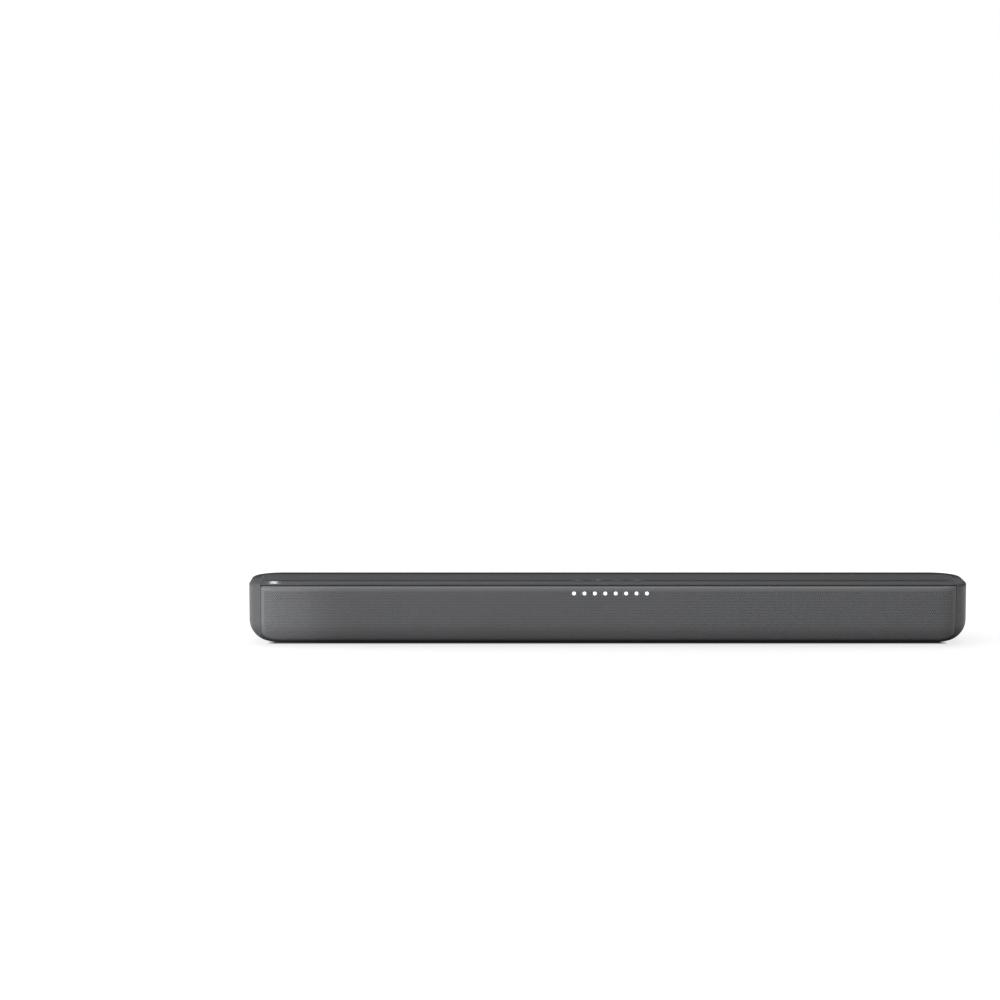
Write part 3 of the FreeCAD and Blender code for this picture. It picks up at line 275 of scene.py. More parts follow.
def powder_coat(name, colour, rough, specular=0.5):
    """Stoved paint on sheet metal, with a fine orange peel and a faint metal fleck."""
    g = Graph(name)
    fleck = g.ranged(g.cells(0.25 * MM), 1.0, 0.0, 0.0, 0.5)
    blotches = g.noise(90 * MM, 3.0)
    shade = g.mixed(blotches, tinted(colour, 0.95), tinted(colour, 1.05))
    g.colour(g.mixed(g.math("MULTIPLY", fleck, 0.18), shade, tinted(colour, 1.9)))
    g.roughness(g.ranged(g.noise(12 * MM, 3.0), rough - 0.04, rough + 0.04, 0.3, 0.7))
    g.bump(g.noise(0.5 * MM, 2.0), 0.25, 0.02 * MM)
    g.fix(Specular_IOR_Level=specular)
    return g.material


def gloss(name, colour):
    """High-gloss resin with faint wipe marks."""
    g = Graph(name)
    marks = g.noise(0.8 * MM, 4.0, 0.7, g.stretched((0.06, 1.0, 1.0)))
    g.colour(g.mixed(g.noise(70 * MM), tinted(colour, 0.85), tinted(colour, 1.15)))
    g.roughness(g.ranged(marks, 0.12, 0.26, 0.35, 0.75))
    g.bump(g.noise(9 * MM, 1.0), 0.05, 0.02 * MM)
    return g.material


def rubber(name, colour):
    """Matt rubber with a bloom and small pits."""
    g = Graph(name)
    bloom = g.noise(9 * MM, 5.0, 0.65)
    g.colour(g.mixed(bloom, tinted(colour, 0.8), tinted(colour, 1.5)))
    g.roughness(g.ranged(bloom, 0.7, 0.9, 0.3, 0.7))
    g.bump(g.cells(0.5 * MM), 0.3, 0.03 * MM)
    g.fix(Specular_IOR_Level=0.35)
    return g.material


def metal(name, colour, rough, streaks=(1.0, 1.0, 1.0), grain=0.4 * MM):
    """Bare or plated metal with drawn streaks and dull patches."""
    g = Graph(name)
    lines = g.noise(grain, 4.0, 0.6, g.stretched(streaks))
    dull = g.noise(14 * MM, 4.0)
    g.colour(g.mixed(dull, tinted(colour, 0.86), tinted(colour, 1.08)))
    g.roughness(g.ranged(lines, rough - 0.07, rough + 0.09, 0.3, 0.7))
    g.bump(lines, 0.18, 0.01 * MM)
    g.fix(Metallic=1.0)
    return g.material


def cloth(name, colour, pitch=0.7 * MM):
    """Open plain weave: two sets of threads that cross, with dark gaps."""
    g = Graph(name)
    across = g.wave(pitch, "X", 0.15)
    up = g.wave(pitch, "Z", 0.15)
    threads = g.math("MAXIMUM", across, up)
    fuzz = g.noise(3 * MM, 4.0)
    shade = g.mixed(fuzz, tinted(colour, 0.8), tinted(colour, 1.25))
    g.colour(g.mixed(g.ranged(threads, 0.0, 1.0, 0.35, 0.9), tinted(colour, 0.35), shade))
    g.roughness(g.ranged(fuzz, 0.85, 0.98, 0.3, 0.7))
    g.bump(threads, 0.7, 0.15 * MM)
    g.fix(Sheen_Weight=0.12, Sheen_Roughness=0.5, Specular_IOR_Level=0.2)
    return g.material


def circuit_board(name, colour):
    """Solder mask over copper tracks, with tinned pads."""
    g = Graph(name)
    tracks = g.cells(2.6 * MM, "DISTANCE_TO_EDGE")
    copper = g.ranged(tracks, 1.0, 0.0, 0.03, 0.07)
    masked = g.mixed(copper, colour, tinted(colour, 2.1))
    pads = g.ranged(g.cells(3.4 * MM), 1.0, 0.0, 0.12, 0.16)
    g.colour(g.mixed(pads, masked, (0.62, 0.6, 0.55)))
    g.roughness(g.ranged(pads, 0.38, 0.25))
    g.bump(g.math("ADD", copper, pads), 0.25, 0.05 * MM)
    return g.material


def pulp(name, colour):
    """Pressed paper pulp with short fibres."""
    g = Graph(name)
    fibres = g.noise(0.9 * MM, 6.0, 0.75, g.stretched((1.0, 1.0, 0.35)))
    g.colour(g.mixed(fibres, tinted(colour, 0.6), tinted(colour, 1.7)))
    g.roughness(g.ranged(fibres, 0.75, 0.95, 0.3, 0.7))
    g.bump(fibres, 0.5, 0.08 * MM)
    return g.material


def sintered(name, colour):
    """Ferrite: dull, dark and faintly crystalline."""
    g = Graph(name)
    crystals = g.cells(0.6 * MM)
    g.colour(g.mixed(crystals, tinted(colour, 1.5), tinted(colour, 0.7)))
    g.roughness(g.ranged(crystals, 0.45, 0.7))
    g.bump(crystals, 0.3, 0.05 * MM)
    g.fix(Metallic=0.35)
    return g.material


def wound(name, colour, pitch, axis, metallic=0.0):
    """Turns of wire or tape laid side by side."""
    g = Graph(name)
    turns = g.wave(pitch, axis, 0.4)
    g.colour(g.mixed(turns, tinted(colour, 0.5), tinted(colour, 1.2)))
    g.roughness(g.ranged(turns, 0.57, 0.37))
    g.bump(turns, 0.6, 0.15 * MM)
    g.fix(Metallic=metallic)
    return g.material


def can_sleeve(name, colour):
    """Shrink sleeve on a capacitor: gloss film with a pale polarity stripe."""
    g = Graph(name)
    around = g.noise(22 * MM, 0.0, 0.5, g.stretched((1.0, 1.0, 0.02)))
    stripe = g.ranged(around, 0.0, 1.0, 0.60, 0.62)
    g.colour(g.mixed(stripe, colour, (0.55, 0.58, 0.62)))
    g.roughness(g.ranged(g.noise(6 * MM, 3.0), 0.22, 0.36, 0.3, 0.7))
    g.bump(g.noise(2.5 * MM, 2.0), 0.15, 0.05 * MM)
    return g.material


def lit_resin(name, colour, strength):
    """Clear resin with light from a diode behind it, and a faint haze."""
    g = Graph(name)
    haze = g.noise(0.6 * MM, 3.0)
    tone = g.mixed(haze, tinted(colour, 0.88), colour)
    g.colour(tone)
    g.join(tone, g.shader.inputs["Emission Color"])
    g.roughness(g.ranged(haze, 0.22, 0.34, 0.3, 0.7))
    g.fix(Emission_Strength=strength, IOR=1.49)
    return g.material


# ------------------------------------------------------------------- materials


def make_materials():
    """One finished material for each slot of the record."""
    return {
        "case_plastic": case_finish(
            "case_plastic", (0.045, 0.046, 0.048), 0.50, 0.35 * MM, 0.35, polish=1.0
        ),
        "cap_plastic": case_finish(
            "cap_plastic", (0.062, 0.063, 0.066), 0.34, 0.3 * MM, 0.15, polish=0.0
        ),
        "grille_metal": powder_coat("grille_metal", (0.090, 0.091, 0.094), 0.50, 0.35),
        "cloth": cloth("acoustic_cloth", (0.030, 0.030, 0.032)),
        "frame_plastic": plastic("frame_plastic", (0.022, 0.022, 0.024), 0.6),
        "strip_gloss": plastic(
            "strip_gloss", (0.016, 0.016, 0.017), 0.36, 0.5 * MM, 0.04, specular=0.25
        ),
        "key_plastic": plastic("key_plastic", (0.036, 0.036, 0.038), 0.42, 0.25 * MM, 0.25),
        "foot_rubber": rubber("foot_rubber", (0.018, 0.018, 0.018)),
        "roll_rubber": rubber("roll_rubber", (0.014, 0.014, 0.014)),
        "zinc_screw": metal("zinc_screw", (0.16, 0.16, 0.17), 0.4),
        "plate_steel": metal("plate_steel", (0.55, 0.56, 0.58), 0.36, (0.08, 1.0, 1.0)),
        "basket_steel": powder_coat("basket_steel", (0.035, 0.035, 0.036), 0.5),
        "motor_steel": metal("motor_steel", (0.56, 0.54, 0.46), 0.33),
        "ferrite": sintered("ferrite", (0.05, 0.05, 0.053)),
        "cone_paper": pulp("cone_paper", (0.030, 0.030, 0.031)),
        "cap_paper": pulp("cap_paper", (0.020, 0.020, 0.021)),
        "copper_coil": wound("copper_coil", (0.75, 0.32, 0.14), 0.35 * MM, "Y", metallic=1.0),
        "spider_cloth": cloth("spider_cloth", (0.42, 0.26, 0.09), 0.5 * MM),
        "dome_silk": cloth("dome_silk", (0.035, 0.035, 0.038), 0.25 * MM),
        "baffle_board": plastic("baffle_board", (0.028, 0.028, 0.03), 0.65, 0.6 * MM, 0.5),
        "green_board": circuit_board("green_board", (0.012, 0.085, 0.035)),
        "black_board": circuit_board("black_board", (0.012, 0.014, 0.016)),
        "chip_black": plastic("chip_black", (0.020, 0.020, 0.022), 0.5, 0.2 * MM, 0.3),
        "sink_aluminium": metal("sink_aluminium", (0.80, 0.81, 0.83), 0.32, (1.0, 0.05, 1.0)),
        "winding": wound("winding", (0.62, 0.42, 0.07), 1.1 * MM, "Z"),
        "can_sleeve": can_sleeve("can_sleeve", (0.020, 0.028, 0.075)),
        "diode": lit_resin("diode", (1.0, 0.97, 0.88), 1.5),
        "clear_guide": lit_resin("clear_guide", (0.80, 0.81, 0.82), 0.85),
        "ir_lens": gloss("ir_lens", (0.030, 0.004, 0.008)),
        "socket_black": plastic("socket_black", (0.018, 0.018, 0.019), 0.45, 0.2 * MM, 0.2),
        "socket_shell": metal("socket_shell", (0.70, 0.69, 0.66), 0.22, (1.0, 0.1, 1.0)),
        "contact_brass": metal("contact_brass", (0.80, 0.62, 0.28), 0.24),
        "shutter_plastic": plastic("shutter_plastic", (0.05, 0.05, 0.052), 0.4, 0.2 * MM, 0.2),
        "bay_plastic": plastic("bay_plastic", (0.040, 0.041, 0.043), 0.55),
        "wire_pvc": rubber("wire_pvc", (0.30, 0.012, 0.010)),
        "switch_body": plastic("switch_body", (0.055, 0.055, 0.055), 0.4, 0.2 * MM, 0.2),
    }


def dress_nodes(materials):
    """Gives every CAD node the finished material of its slot."""
    for part in frame["record"]["subparts"]:
        node = NODES[part["node"]]
        node.data.materials.clear()
        node.data.materials.append(materials[part["material_slot"]])


# ---------------------------------------------------------------------- meshes


def mesh_piece(name, points, faces, material, body):
    """A mesh object in the row frame that rides on a CAD body."""
    data = bpy.data.meshes.new(name)
    data.from_pydata(points, [], faces)
    data.validate()
    data.polygons.foreach_set("use_smooth", [True] * len(data.polygons))
    data.set_sharp_from_angle(angle=SHARP_ANGLE)
    data.materials.append(material)
    piece = bpy.data.objects.new(name, data)
    bpy.context.scene.collection.objects.link(piece)
    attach(piece, body)
    return piece


class GrilleSheet:
    """The wrap-round sheet as a grid of half-pitch columns and rows, in millimetres.

    s runs along the plan outline from the middle, t up the profile from the top of
    the belly's curve. Where the sheet is perforated, a cell is two columns by one row
    with a hexagonal hole, and each row is shifted by one column from the last."""

    THICKNESS = 0.8
    PLAN_RADIUS = 34.0
    BELLY_RADIUS = 25.0
    EDGE_RADIUS = 4.0

    # How far the lower and upper edges lie inside the outline, along the front.
    LOWER_REACH = 9.8
    UPPER_REACH = 12.4

    # The perforated field: columns a millimetre wide to each side of the middle, and
    # rows between two values of t. HOLE is a hole's radius, at its corners.
    PERFORATED_HALF = 382
    FIRST_T = -16.0
    LAST_T = 35.5
    ROWS = 30
    HOLE = 0.56
    HOLE_CORNERS = (210, 270, 330, 30, 90, 150)

    # The plain margins: at the sides, under the belly, round the top edge (as parts of
    # its arc) and along the flange. Near a corner of the sheet a side margin and another
    # depend on each other, and are worked out again this many times.
    SIDE_COLUMNS = 5
    BELLY_ROWS = 4
    EDGE_PARTS = tuple(k / 11 for k in (0, 1, 3, 5, 7, 9, 11))
    FLANGE_ROWS = 4
    CORNER_PASSES = 4

    # The block of columns and rows round each light's hole.
    LIGHT_COLUMNS = 6
    LIGHT_ROWS = 3
    LIGHT_CLEARANCE = 0.1

    def __init__(self):
        low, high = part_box("front_grille")
        self.end = high.x / MM
        self.front = low.y / MM
        self.top = high.z / MM
        self.belly_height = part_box("bottom_case")[0].z / MM + self.BELLY_RADIUS
        self.corner_x = cad_high.x / MM - self.PLAN_RADIUS
        self.corner_y = self.front + self.PLAN_RADIUS
        self.wall = self.top - self.EDGE_RADIUS - self.belly_height
        self.edge_arc = self.EDGE_RADIUS * math.pi / 2
        self.outer, self.inner, self.faces = [], [], []
        self.made = {}

    def turn(self, s):
        """The plan outline's turn at s, in radians."""
        return max(0.0, abs(s) - self.corner_x) / self.PLAN_RADIUS

    def profile(self, t):
        """How far inside the outline the sheet is at t, its height, and its normal."""
        if t < 0:
            angle = -t / self.BELLY_RADIUS
            inside = self.BELLY_RADIUS * (1 - math.cos(angle))
            height = self.belly_height - self.BELLY_RADIUS * math.sin(angle)
            return inside, height, math.cos(angle), -math.sin(angle)
        if t <= self.wall:
            return 0.0, self.belly_height + t, 1.0, 0.0
        angle = (t - self.wall) / self.EDGE_RADIUS
        if angle < math.pi / 2:
            inside = self.EDGE_RADIUS * (1 - math.cos(angle))
            height = self.top - self.EDGE_RADIUS * (1 - math.sin(angle))
            return inside, height, math.cos(angle), math.sin(angle)
        return self.EDGE_RADIUS + t - self.wall - self.edge_arc, self.top, 0.0, 1.0

    def t_of_inside(self, inside, upper):
        """The t at which the sheet is this far inside the outline."""
        if upper:
            return self.wall + self.edge_arc + inside - self.EDGE_RADIUS
        return -self.BELLY_RADIUS * math.acos(1 - inside / self.BELLY_RADIUS)

    def last_t(self, s, upper):
        """The t of the sheet's upper or lower edge, which lies in one plane."""
        reach = self.UPPER_REACH if upper else self.LOWER_REACH
        inside = self.PLAN_RADIUS - (self.PLAN_RADIUS - reach) / math.cos(self.turn(s))
        return self.t_of_inside(inside, upper)

    def last_s(self, t):
        """The s of the sheet's end, which lies in one plane."""
        inside = self.profile(t)[0]
        angle = math.asin((self.end - self.corner_x) / (self.PLAN_RADIUS - inside))
        return self.corner_x + self.PLAN_RADIUS * angle

    def point(self, s, t):
        """Outer and inner positions at (s, t)."""
        angle = self.turn(s)
        sign = 1 if s > 0 else -1
        inside, height, level, rise = self.profile(t)
        reach = self.PLAN_RADIUS - inside
        along = min(abs(s), self.corner_x) + reach * math.sin(angle)
        x, y = sign * along, self.corner_y - reach * math.cos(angle)
        normal = (sign * math.sin(angle) * level, -math.cos(angle) * level, rise)
        inner = [v - self.THICKNESS * n for v, n in zip((x, y, height), normal)]
        return (x, y, height), tuple(inner)

    def vertex(self, s, t):
        """The number of a new vertex at (s, t)."""
        outer, inner = self.point(s, t)
        self.outer.append(outer)
        self.inner.append(inner)
        return len(self.outer) - 1

    def margin_t(self, s, j):
        """The t of a row in the margin below or above the perforated field."""
        if j < 0:
            part = -j / self.BELLY_ROWS
            return self.FIRST_T + (self.last_t(s, False) - self.FIRST_T) * part
        step = j - self.ROWS
        bends = len(self.EDGE_PARTS)
        if step <= bends:
            return self.wall + self.edge_arc * self.EDGE_PARTS[step - 1]
        edge = self.wall + self.edge_arc
        part = (step - bends) / self.FLANGE_ROWS
        return edge + (self.last_t(s, True) - edge) * part

    def place(self, i, j):
        """(s, t) of a grid corner; margins are stretched to end on the sheet's edges."""
        half = self.PERFORATED_HALF
        side = max(0, abs(i) - half) / self.SIDE_COLUMNS
        in_field = 0 <= j <= self.ROWS
        s = max(-half, min(half, i))
        pitch = (self.LAST_T - self.FIRST_T) / self.ROWS
        t = self.FIRST_T + pitch * max(0, min(self.ROWS, j))
        for _ in range(self.CORNER_PASSES if side else 1):
            if side:
                s = math.copysign(half + (self.last_s(t) - half) * side, i)
            if not in_field:
                t = self.margin_t(s, j)
        return s, t

    def corner(self, i, j):
        """The number of the grid's vertex at column i and row j, made when first used."""
        if (i, j) not in self.made:
            self.made[i, j] = self.vertex(*self.place(i, j))
        return self.made[i, j]

    def quad(self, i, j):
        """A plain face from column i and row j to the next of each."""
        around = ((i, j), (i + 1, j), (i + 1, j + 1), (i, j + 1))
        self.faces.append([self.corner(*key) for key in around])

    def ring(self, rim, hole):
        """Faces between a rim and a hole with the same number of corners."""
        for k in range(len(rim)):
            n = (k + 1) % len(rim)
            self.faces.append([rim[k], rim[n], hole[n], hole[k]])

    def round_hole(self, s, t, radius, turns):
        """New vertices round (s, t), one at each turn in radians."""
        return [
            self.vertex(s + radius * math.cos(turn), t + radius * math.sin(turn)) for turn in turns
        ]

    def cell(self, i, j):
        """One hole in two columns of a row."""
        around = [(i, j), (i + 1, j), (i + 2, j), (i + 2, j + 1), (i + 1, j + 1), (i, j + 1)]
        rim = [self.corner(*key) for key in around]
        s, low = self.place(i + 1, j)
        middle = (low + self.place(i + 1, j + 1)[1]) / 2
        turns = [math.radians(degrees) for degrees in self.HOLE_CORNERS]
        self.ring(rim, self.round_hole(s, middle, self.HOLE, turns))

    def light_block(self, i, j, centre, radius):
        """A round hole for a light guide in a block of columns and rows."""
        right, top = i + self.LIGHT_COLUMNS, j + self.LIGHT_ROWS
        keys = [(k, j) for k in range(i, right)] + [(right, k) for k in range(j, top)]
        keys += [(k, top) for k in range(right, i, -1)] + [(i, k) for k in range(top, j, -1)]
        places = [self.place(*key) for key in keys]
        turns = [math.atan2(t - centre[1], s - centre[0]) for s, t in places]
        hole = self.round_hole(*centre, radius, turns)
        self.ring([self.corner(*key) for key in keys], hole)

    def light_blocks(self, lights, radius):
        """A block with a round hole at each (x, height); the columns and rows they fill."""
        row = self.ROWS - self.LIGHT_ROWS
        filled = set()
        for x, height in lights:
            left = round(x) - self.LIGHT_COLUMNS // 2
            columns = range(left, left + self.LIGHT_COLUMNS)
            filled |= {(i, j) for i in columns for j in range(row, self.ROWS)}
            self.light_block(left, row, (x, height - self.belly_height), radius)
        return filled

    def perforated_row(self, j, filled):
        """A row of holes, shifted by a column in every second row, round the lights."""
        half = self.PERFORATED_HALF
        i = -half
        if j % 2:
            self.quad(i, j)
            i += 1
        while i < half:
            free = (i, j) not in filled
            if i + 2 <= half and free and (i + 1, j) not in filled:
                self.cell(i, j)
                i += 2
                continue
            if free:
                self.quad(i, j)
            i += 1

    def build(self, lights, radius):
        """All the faces, with a round hole at each (x, height) of lights."""
        filled = self.light_blocks(lights, radius)
        half = self.PERFORATED_HALF
        end = half + self.SIDE_COLUMNS
        top = self.ROWS + len(self.EDGE_PARTS) + self.FLANGE_ROWS
        for j in range(-self.BELLY_ROWS, top):
            in_field = 0 <= j < self.ROWS
            plain = [*range(-end, -half), *range(half, end)] if in_field else range(-end, end)
            for i in plain:
                self.quad(i, j)
            if in_field:
                self.perforated_row(j, filled)

    def pieces(self, cuts):
        """Closed meshes of the sheet, split at the given x values."""
        bounds = [-math.inf, *cuts, math.inf]
        for low, high in zip(bounds, bounds[1:]):
            chosen = []
            for face in self.faces:
                middle = sum(self.outer[v][0] for v in face) / len(face)
                if low <= middle < high:
                    chosen.append(face)
            yield self.closed(chosen)

    def closed(self, faces):
        """Points and faces of both sides of some of the sheet and the walls between."""
        used = sorted({v for face in faces for v in face})
        number = {v: k for k, v in enumerate(used)}
        count = len(used)
        points = [tuple(c * MM for c in self.outer[v]) for v in used]
        points += [tuple(c * MM for c in self.inner[v]) for v in used]
        front = [[number[v] for v in face] for face in faces]
        back = [[v + count for v in reversed(face)] for face in front]
        edges = dict.fromkeys(edge for face in front for edge in zip(face, face[1:] + face[:1]))
        walls = [[b, a, a + count, b + count] for a, b in edges if (b, a) not in edges]
        return points, front + back + walls


def guide_places():
    """The middle (x, height) and radius of each light guide, in millimetres, from its node."""
    low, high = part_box("light_guides")
    radius = (high.z - low.z) / 2 / MM
    height = (high.z + low.z) / 2 / MM
    xs = sorted({round(v.co.x / MM, 2) for v in NODES["light_guides"].data.vertices})
    groups = []
    for x in xs:
        if groups and x - groups[-1][-1] < 2 * radius:
            groups[-1].append(x)
        else:
            groups.append([x])
    return [((g[0] + g[-1]) / 2, height) for g in groups], radius


def make_grille(materials):
    """The perforated sheet, in three lengths that meet edge to edge."""
    places, radius = guide_places()
    sheet = GrilleSheet()
    sheet.build(places, radius + sheet.LIGHT_CLEARANCE)
    slot = "grille_metal"
    for number, (points, faces) in enumerate(sheet.pieces(GRILLE_CUTS), 1):
        name = f"grille_sheet_{number}"
        piece = mesh_piece(name, points, faces, materials[slot], HOUSING)
        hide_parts("front_grille")


def stroke(path, width, height, z):
    """A printed line along 2-D points, as (points, faces) of a thin raised ribbon."""
    points, faces = [], []
    closed = path[0] == path[-1]
    path = path[:-1] if closed else path
    count = len(path)
    for k, (x, y) in enumerate(path):
        before = path[k - 1] if closed or k else path[k]
        after = path[(k + 1) % count] if closed or k < count - 1 else path[k]
        dx, dy = after[0] - before[0], after[1] - before[1]
        length = math.hypot(dx, dy)
        nx, ny = -dy / length * width / 2, dx / length * width / 2
        points += [(x + nx, y + ny, z + height), (x - nx, y - ny, z + height)]
        points += [(x + nx, y + ny, z), (x - nx, y - ny, z)]
    for k in range(count if closed else count - 1):
        a, b = 4 * k, 4 * ((k + 1) % count)
        faces += [[a, b, b + 1, a + 1], [a + 2, b + 2, b, a], [a + 1, b + 1, b + 3, a + 3]]
    if not closed:
        last = 4 * (count - 1)
        faces += [[0, 1, 3, 2], [last + 1, last, last + 2, last + 3]]
    return points, faces


def symbol_paths(key):
    """Generic symbols for the keys, as strokes in millimetres round (0, 0)."""
    ring = [
        (1.5 * math.sin(math.radians(a)), 1.5 * math.cos(math.radians(a)))
        for a in range(40, 321, 14)
    ]
    arrow = [(-1.9, 0.0), (0.3, 0.0)]
    return {
        "power_button": [ring, [(0.0, 0.35), (0.0, 1.9)]],
        "source_button": [
            [(-0.5, 1.0), (-0.5, 1.5), (1.9, 1.5), (1.9, -1.5), (-0.5, -1.5), (-0.5, -1.0)],
            arrow,
            [(-0.4, 0.7), (0.35, 0.0), (-0.4, -0.7)],
        ],
        "volume_down_button": [[(-1.5, 0.0), (1.5, 0.0)]],
        "volume_up_button": [[(-1.5, 0.0), (1.5, 0.0)], [(0.0, -1.5), (0.0, 1.5)]],
    }[key]


def make_key_symbols():
    """A pale printed symbol on each key."""
    ink = plastic("symbol_ink", (0.55, 0.56, 0.58), 0.5, 0.15 * MM, 0.2)
    for key in KEYS:
        low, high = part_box(key)
        centre = (low + high) / 2
        points, faces = [], []
        for path in symbol_paths(key):
            placed = [(centre.x + x * MM, centre.y + y * MM) for x, y in path]
            more, quads = stroke(placed, SYMBOL_WIDTH, SYMBOL_HEIGHT, high.z - SYMBOL_ROOT)
            faces += [[v + len(points) for v in quad] for quad in quads]
            points += more
        mesh_piece(f"{key}_symbol", points, faces, ink, f"{key}_body")


# ---------------------------------------------------------------------- studio

# Where the camera stands: in front of the bar, beside its middle and above the floor.
CAMERA_DISTANCE = 3.156
CAMERA_SIDE = -0.1201
CAMERA_HEIGHT = 0.553
CAMERA_TILT = math.radians(7.014)
CAMERA_LENS = 104.04
CAMERA_REACH = 50.0

# The surrounding light on the bar, brightest towards SKY_TILT and darkest opposite.
SKY_TILT = (-0.75, -0.55, 0.25)
SKY_DARK = 0.02
SKY_BRIGHT = 0.60

# The floor is a disc. The camera sees a matt colour and a painted glow, no lamp, which
# keeps it white. The glow is lower near the bar, a painted soft shadow, and rises to full
# white over GLOW_RISE; the floor fades into the white surround over FLOOR_FADE. Both are
# distances from the origin, with x shortened by FLOOR_SHAPE.
FLOOR_RADIUS = 6.0
FLOOR_CORNERS = 96
FLOOR_SHAPE = (0.35, 1.0, 1.0)
FLOOR_SEEN = (0.20, 0.20, 0.204)
FLOOR_GLOW = 0.76
GLOW_RISE = (0.10, 0.45)
FLOOR_FADE = (0.6, 2.0)

# Half the length and depth of the painted contact shadow, where the floor's painted glow
# is left out, and the width of its soft edge.
FOOTPRINT = (0.372, 0.020)
FOOTPRINT_EDGE = 0.008

# The floor as the bar sees it: darker close to the footprint, a painted shade that dims
# the light thrown back on the bar there, and brighter beyond it.
BOUNCE_NEAR = (0.10, 0.10, 0.10)
BOUNCE_FAR = (0.75, 0.75, 0.75)
BOUNCE_RISE = (0.01, 0.10)

# Rectangular lights: place, target, size in metres, and power in watts.
AREA_LIGHTS = {
    "key": ((-2.6, -1.5, 1.1), (-0.2, 0.0, 0.03), (1.2, 1.2), 56.0),
    "fill": ((-0.1, -3.4, 0.35), (0.0, 0.0, 0.03), (2.6, 0.5), 44.0),
    "back_fill": ((0.4, 3.2, 0.9), (0.0, 0.0, 0.03), (2.6, 1.0), 45.0),
    "overhead": ((0.0, 0.1, 2.0), (0.0, 0.0, 0.0), (2.8, 1.4), 33.0),
}

# Round beams: place, target, reach from the target, power, and radius of the lamp.
SPOT_LIGHTS = {
    "end_beam": ((-0.7, -2.2, 0.35), (-0.409, -0.04, 0.035), 0.112, 165.0, 0.03),
    "glint": ((-0.419, 0.572, 0.161), (-0.374, -0.03, 0.07), 0.02, 0.008, 0.005),
}

# Seen in the satin top at a low angle, these would burn it out.
NOT_IN_REFLECTIONS = ("fill", "back_fill", "end_beam")


def make_camera():
    """The camera, in front, above and a little to the left, as the photograph was taken."""
    camera = bpy.data.objects.new("camera", bpy.data.cameras.new("camera"))
    bpy.context.scene.collection.objects.link(camera)
    camera.data.lens = CAMERA_LENS
    camera.data.clip_end = CAMERA_REACH
    camera.location = (CAMERA_SIDE, cad_low.y - CAMERA_DISTANCE, CAMERA_HEIGHT)
    camera.rotation_euler = (math.pi / 2 - CAMERA_TILT, 0.0, 0.0)
    bpy.context.scene.camera = camera


def diffuse(graph, colour):
    """A plain matt shader for the stage."""
    node = graph.add("ShaderNodeBsdfDiffuse")
    node.inputs["Color"].default_value = (*colour, 1.0)
    return node.outputs[0]


def mixed_shader(graph, factor, first, second):
    """One shader or another, by a factor."""
    node = graph.add("ShaderNodeMixShader")
    graph.join(factor, node.inputs[0])
    graph.join(first, node.inputs[1])
    graph.join(second, node.inputs[2])
    return node.outputs[0]


def beyond_footprint(graph):
    """The distance past the painted contact shadow's sides, negative within it."""
    parts = graph.add("ShaderNodeSeparateXYZ")
    graph.join(graph.place, parts.inputs[0])
    past = [
        graph.math("SUBTRACT", graph.math("ABSOLUTE", v, 0.0), half)
        for v, half in zip(parts.outputs, FOOTPRINT)
    ]
    return graph.math("MAXIMUM", *past)


def floor_seen(graph, away, past):
    """The floor for the camera: matt, with a painted glow outside the painted contact shadow,
    dimmed near the bar as a painted soft shadow.
    """
    glow = graph.add("ShaderNodeEmission")
    level = graph.ranged(away, FLOOR_GLOW, 1.0, *GLOW_RISE)
    clear_of = graph.ranged(past, 0.0, 1.0, 0.0, FOOTPRINT_EDGE)
    graph.join(graph.math("MULTIPLY", level, clear_of), glow.inputs["Strength"])
    seen = graph.add("ShaderNodeAddShader")
    graph.join(glow.outputs[0], seen.inputs[0])
    graph.join(diffuse(graph, FLOOR_SEEN), seen.inputs[1])
    return seen.outputs[0]


def floor_bounce(graph, past):
    """The floor for the light that it throws back on the bar, darkened near the footprint
    as painted shade.
    """
    bounce = graph.add("ShaderNodeBsdfDiffuse")
    rise = graph.ranged(past, 0.0, 1.0, *BOUNCE_RISE)
    graph.join(graph.mixed(rise, BOUNCE_NEAR, BOUNCE_FAR), bounce.inputs["Color"])
    return bounce.outputs[0]


def floor_material():
    """The floor's surface, with a painted glow and painted shadows, which fades into the
    white surround.
    """
    g = Graph("floor")
    length = g.add("ShaderNodeVectorMath", operation="LENGTH")
    g.join(g.stretched(FLOOR_SHAPE), length.inputs[0])
    away = length.outputs["Value"]
    past = beyond_footprint(g)
    camera = g.add("ShaderNodeLightPath").outputs["Is Camera Ray"]
    surface = mixed_shader(g, camera, floor_bounce(g, past), floor_seen(g, away, past))
    clear = g.add("ShaderNodeBsdfTransparent").outputs[0]
    faded = mixed_shader(g, g.ranged(away, 0.0, 1.0, *FLOOR_FADE), surface, clear)
    g.join(faded, g.tree.nodes["Material Output"].inputs["Surface"])
    return g.material


def make_floor():
    """A pale floor with a painted glow for the camera and painted shadows round the bar."""
    data = bpy.data.meshes.new("floor")
    turns = [2 * math.pi * k / FLOOR_CORNERS for k in range(FLOOR_CORNERS)]
    rim = [(FLOOR_RADIUS * math.cos(a), FLOOR_RADIUS * math.sin(a), 0) for a in turns]
    data.from_pydata(rim, [], [list(range(FLOOR_CORNERS))])
    data.materials.append(floor_material())
    floor = bpy.data.objects.new("floor", data)
    bpy.context.scene.collection.objects.link(floor)


def place_light(name, lamp, place, target, power):
    """A light aimed at a point."""
    lamp.energy = power
    light = bpy.data.objects.new(name, lamp)
    bpy.context.scene.collection.objects.link(light)
    light.location = place
    light.rotation_euler = (Vector(target) - Vector(place)).to_track_quat("-Z", "Y").to_euler()
    return light


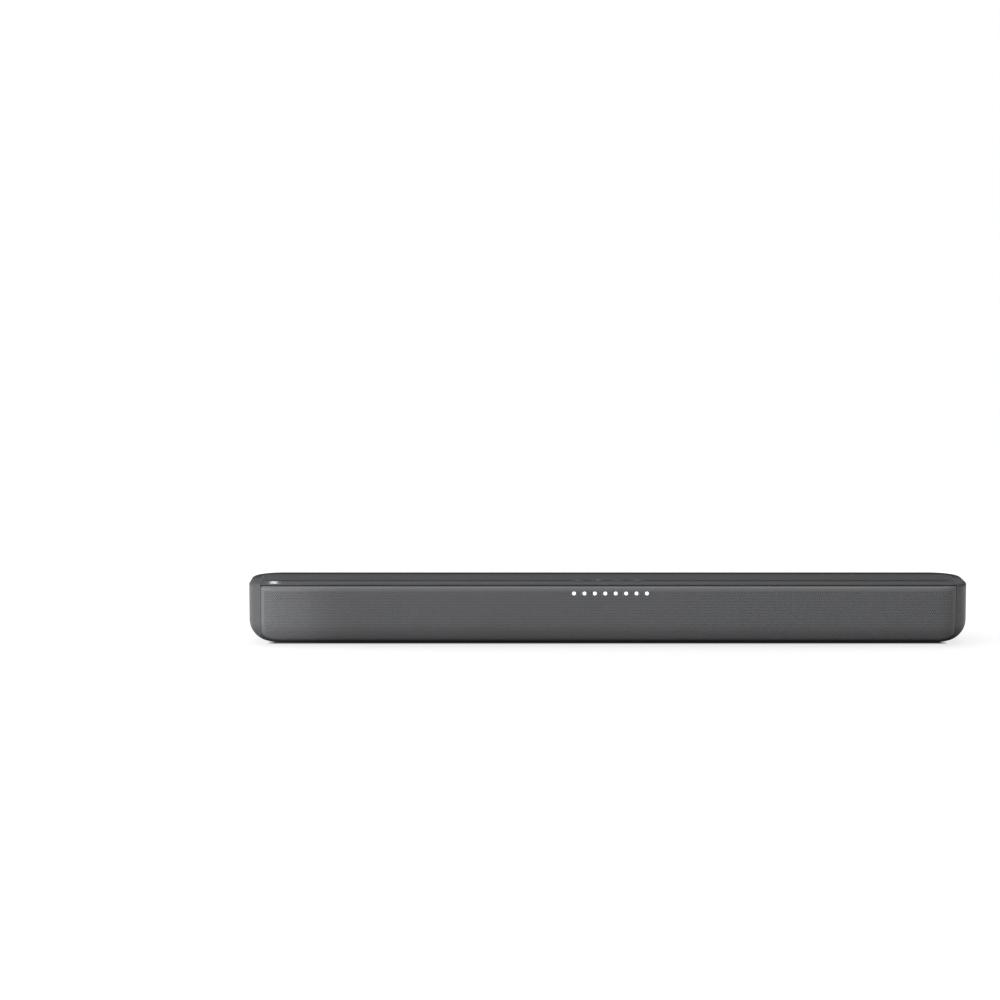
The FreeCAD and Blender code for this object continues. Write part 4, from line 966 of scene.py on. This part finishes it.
def area_light(name, place, target, size, power):
    """A soft rectangular light."""
    lamp = bpy.data.lights.new(name, "AREA")
    lamp.shape = "RECTANGLE"
    lamp.size, lamp.size_y = size
    return place_light(name, lamp, place, target, power)


def spot_light(name, place, target, reach, power, radius):
    """A round beam that reaches this far from its target, soft all the way across."""
    lamp = bpy.data.lights.new(name, "SPOT")
    distance = (Vector(target) - Vector(place)).length
    lamp.spot_size = 2 * math.atan(reach / distance)
    lamp.spot_blend = 1.0
    lamp.shadow_soft_size = radius
    return place_light(name, lamp, place, target, power)


def make_surround():
    """White for the camera; for the light on the object, bright in front and dark behind."""
    world = bpy.data.worlds.new("surround")
    bpy.context.scene.world = world
    world.use_nodes = True
    tree = world.node_tree
    back = tree.nodes["Background"]
    back.inputs["Color"].default_value = (1.0, 1.0, 1.0, 1.0)
    place = tree.nodes.new("ShaderNodeTexCoord")
    along = tree.nodes.new("ShaderNodeVectorMath")
    along.operation = "DOT_PRODUCT"
    along.inputs[1].default_value = Vector(SKY_TILT).normalized()
    tree.links.new(place.outputs["Generated"], along.inputs[0])
    sky = tree.nodes.new("ShaderNodeMapRange")
    for key, number in (("From Min", -1.0), ("To Min", SKY_DARK), ("To Max", SKY_BRIGHT)):
        sky.inputs[key].default_value = number
    tree.links.new(along.outputs["Value"], sky.inputs["Value"])
    path = tree.nodes.new("ShaderNodeLightPath")
    level = tree.nodes.new("ShaderNodeMapRange")
    tree.links.new(path.outputs["Is Camera Ray"], level.inputs["Value"])
    tree.links.new(sky.outputs["Result"], level.inputs["To Min"])
    tree.links.new(level.outputs["Result"], back.inputs["Strength"])


def make_lights():
    """Key, front and back fill and overhead; a beam on the left end, and the lip's glint."""
    lights = {name: area_light(name, *facts) for name, facts in AREA_LIGHTS.items()}
    lights |= {name: spot_light(name, *facts) for name, facts in SPOT_LIGHTS.items()}
    for name in NOT_IN_REFLECTIONS:
        lights[name].visible_glossy = False
    lights["glint"].visible_camera = False


def main():
    bpy.context.scene.view_settings.view_transform = "Standard"
    materials = make_materials()
    dress_nodes(materials)
    make_grille(materials)
    make_key_symbols()
    make_floor()
    make_surround()
    make_lights()
    make_camera()


main()
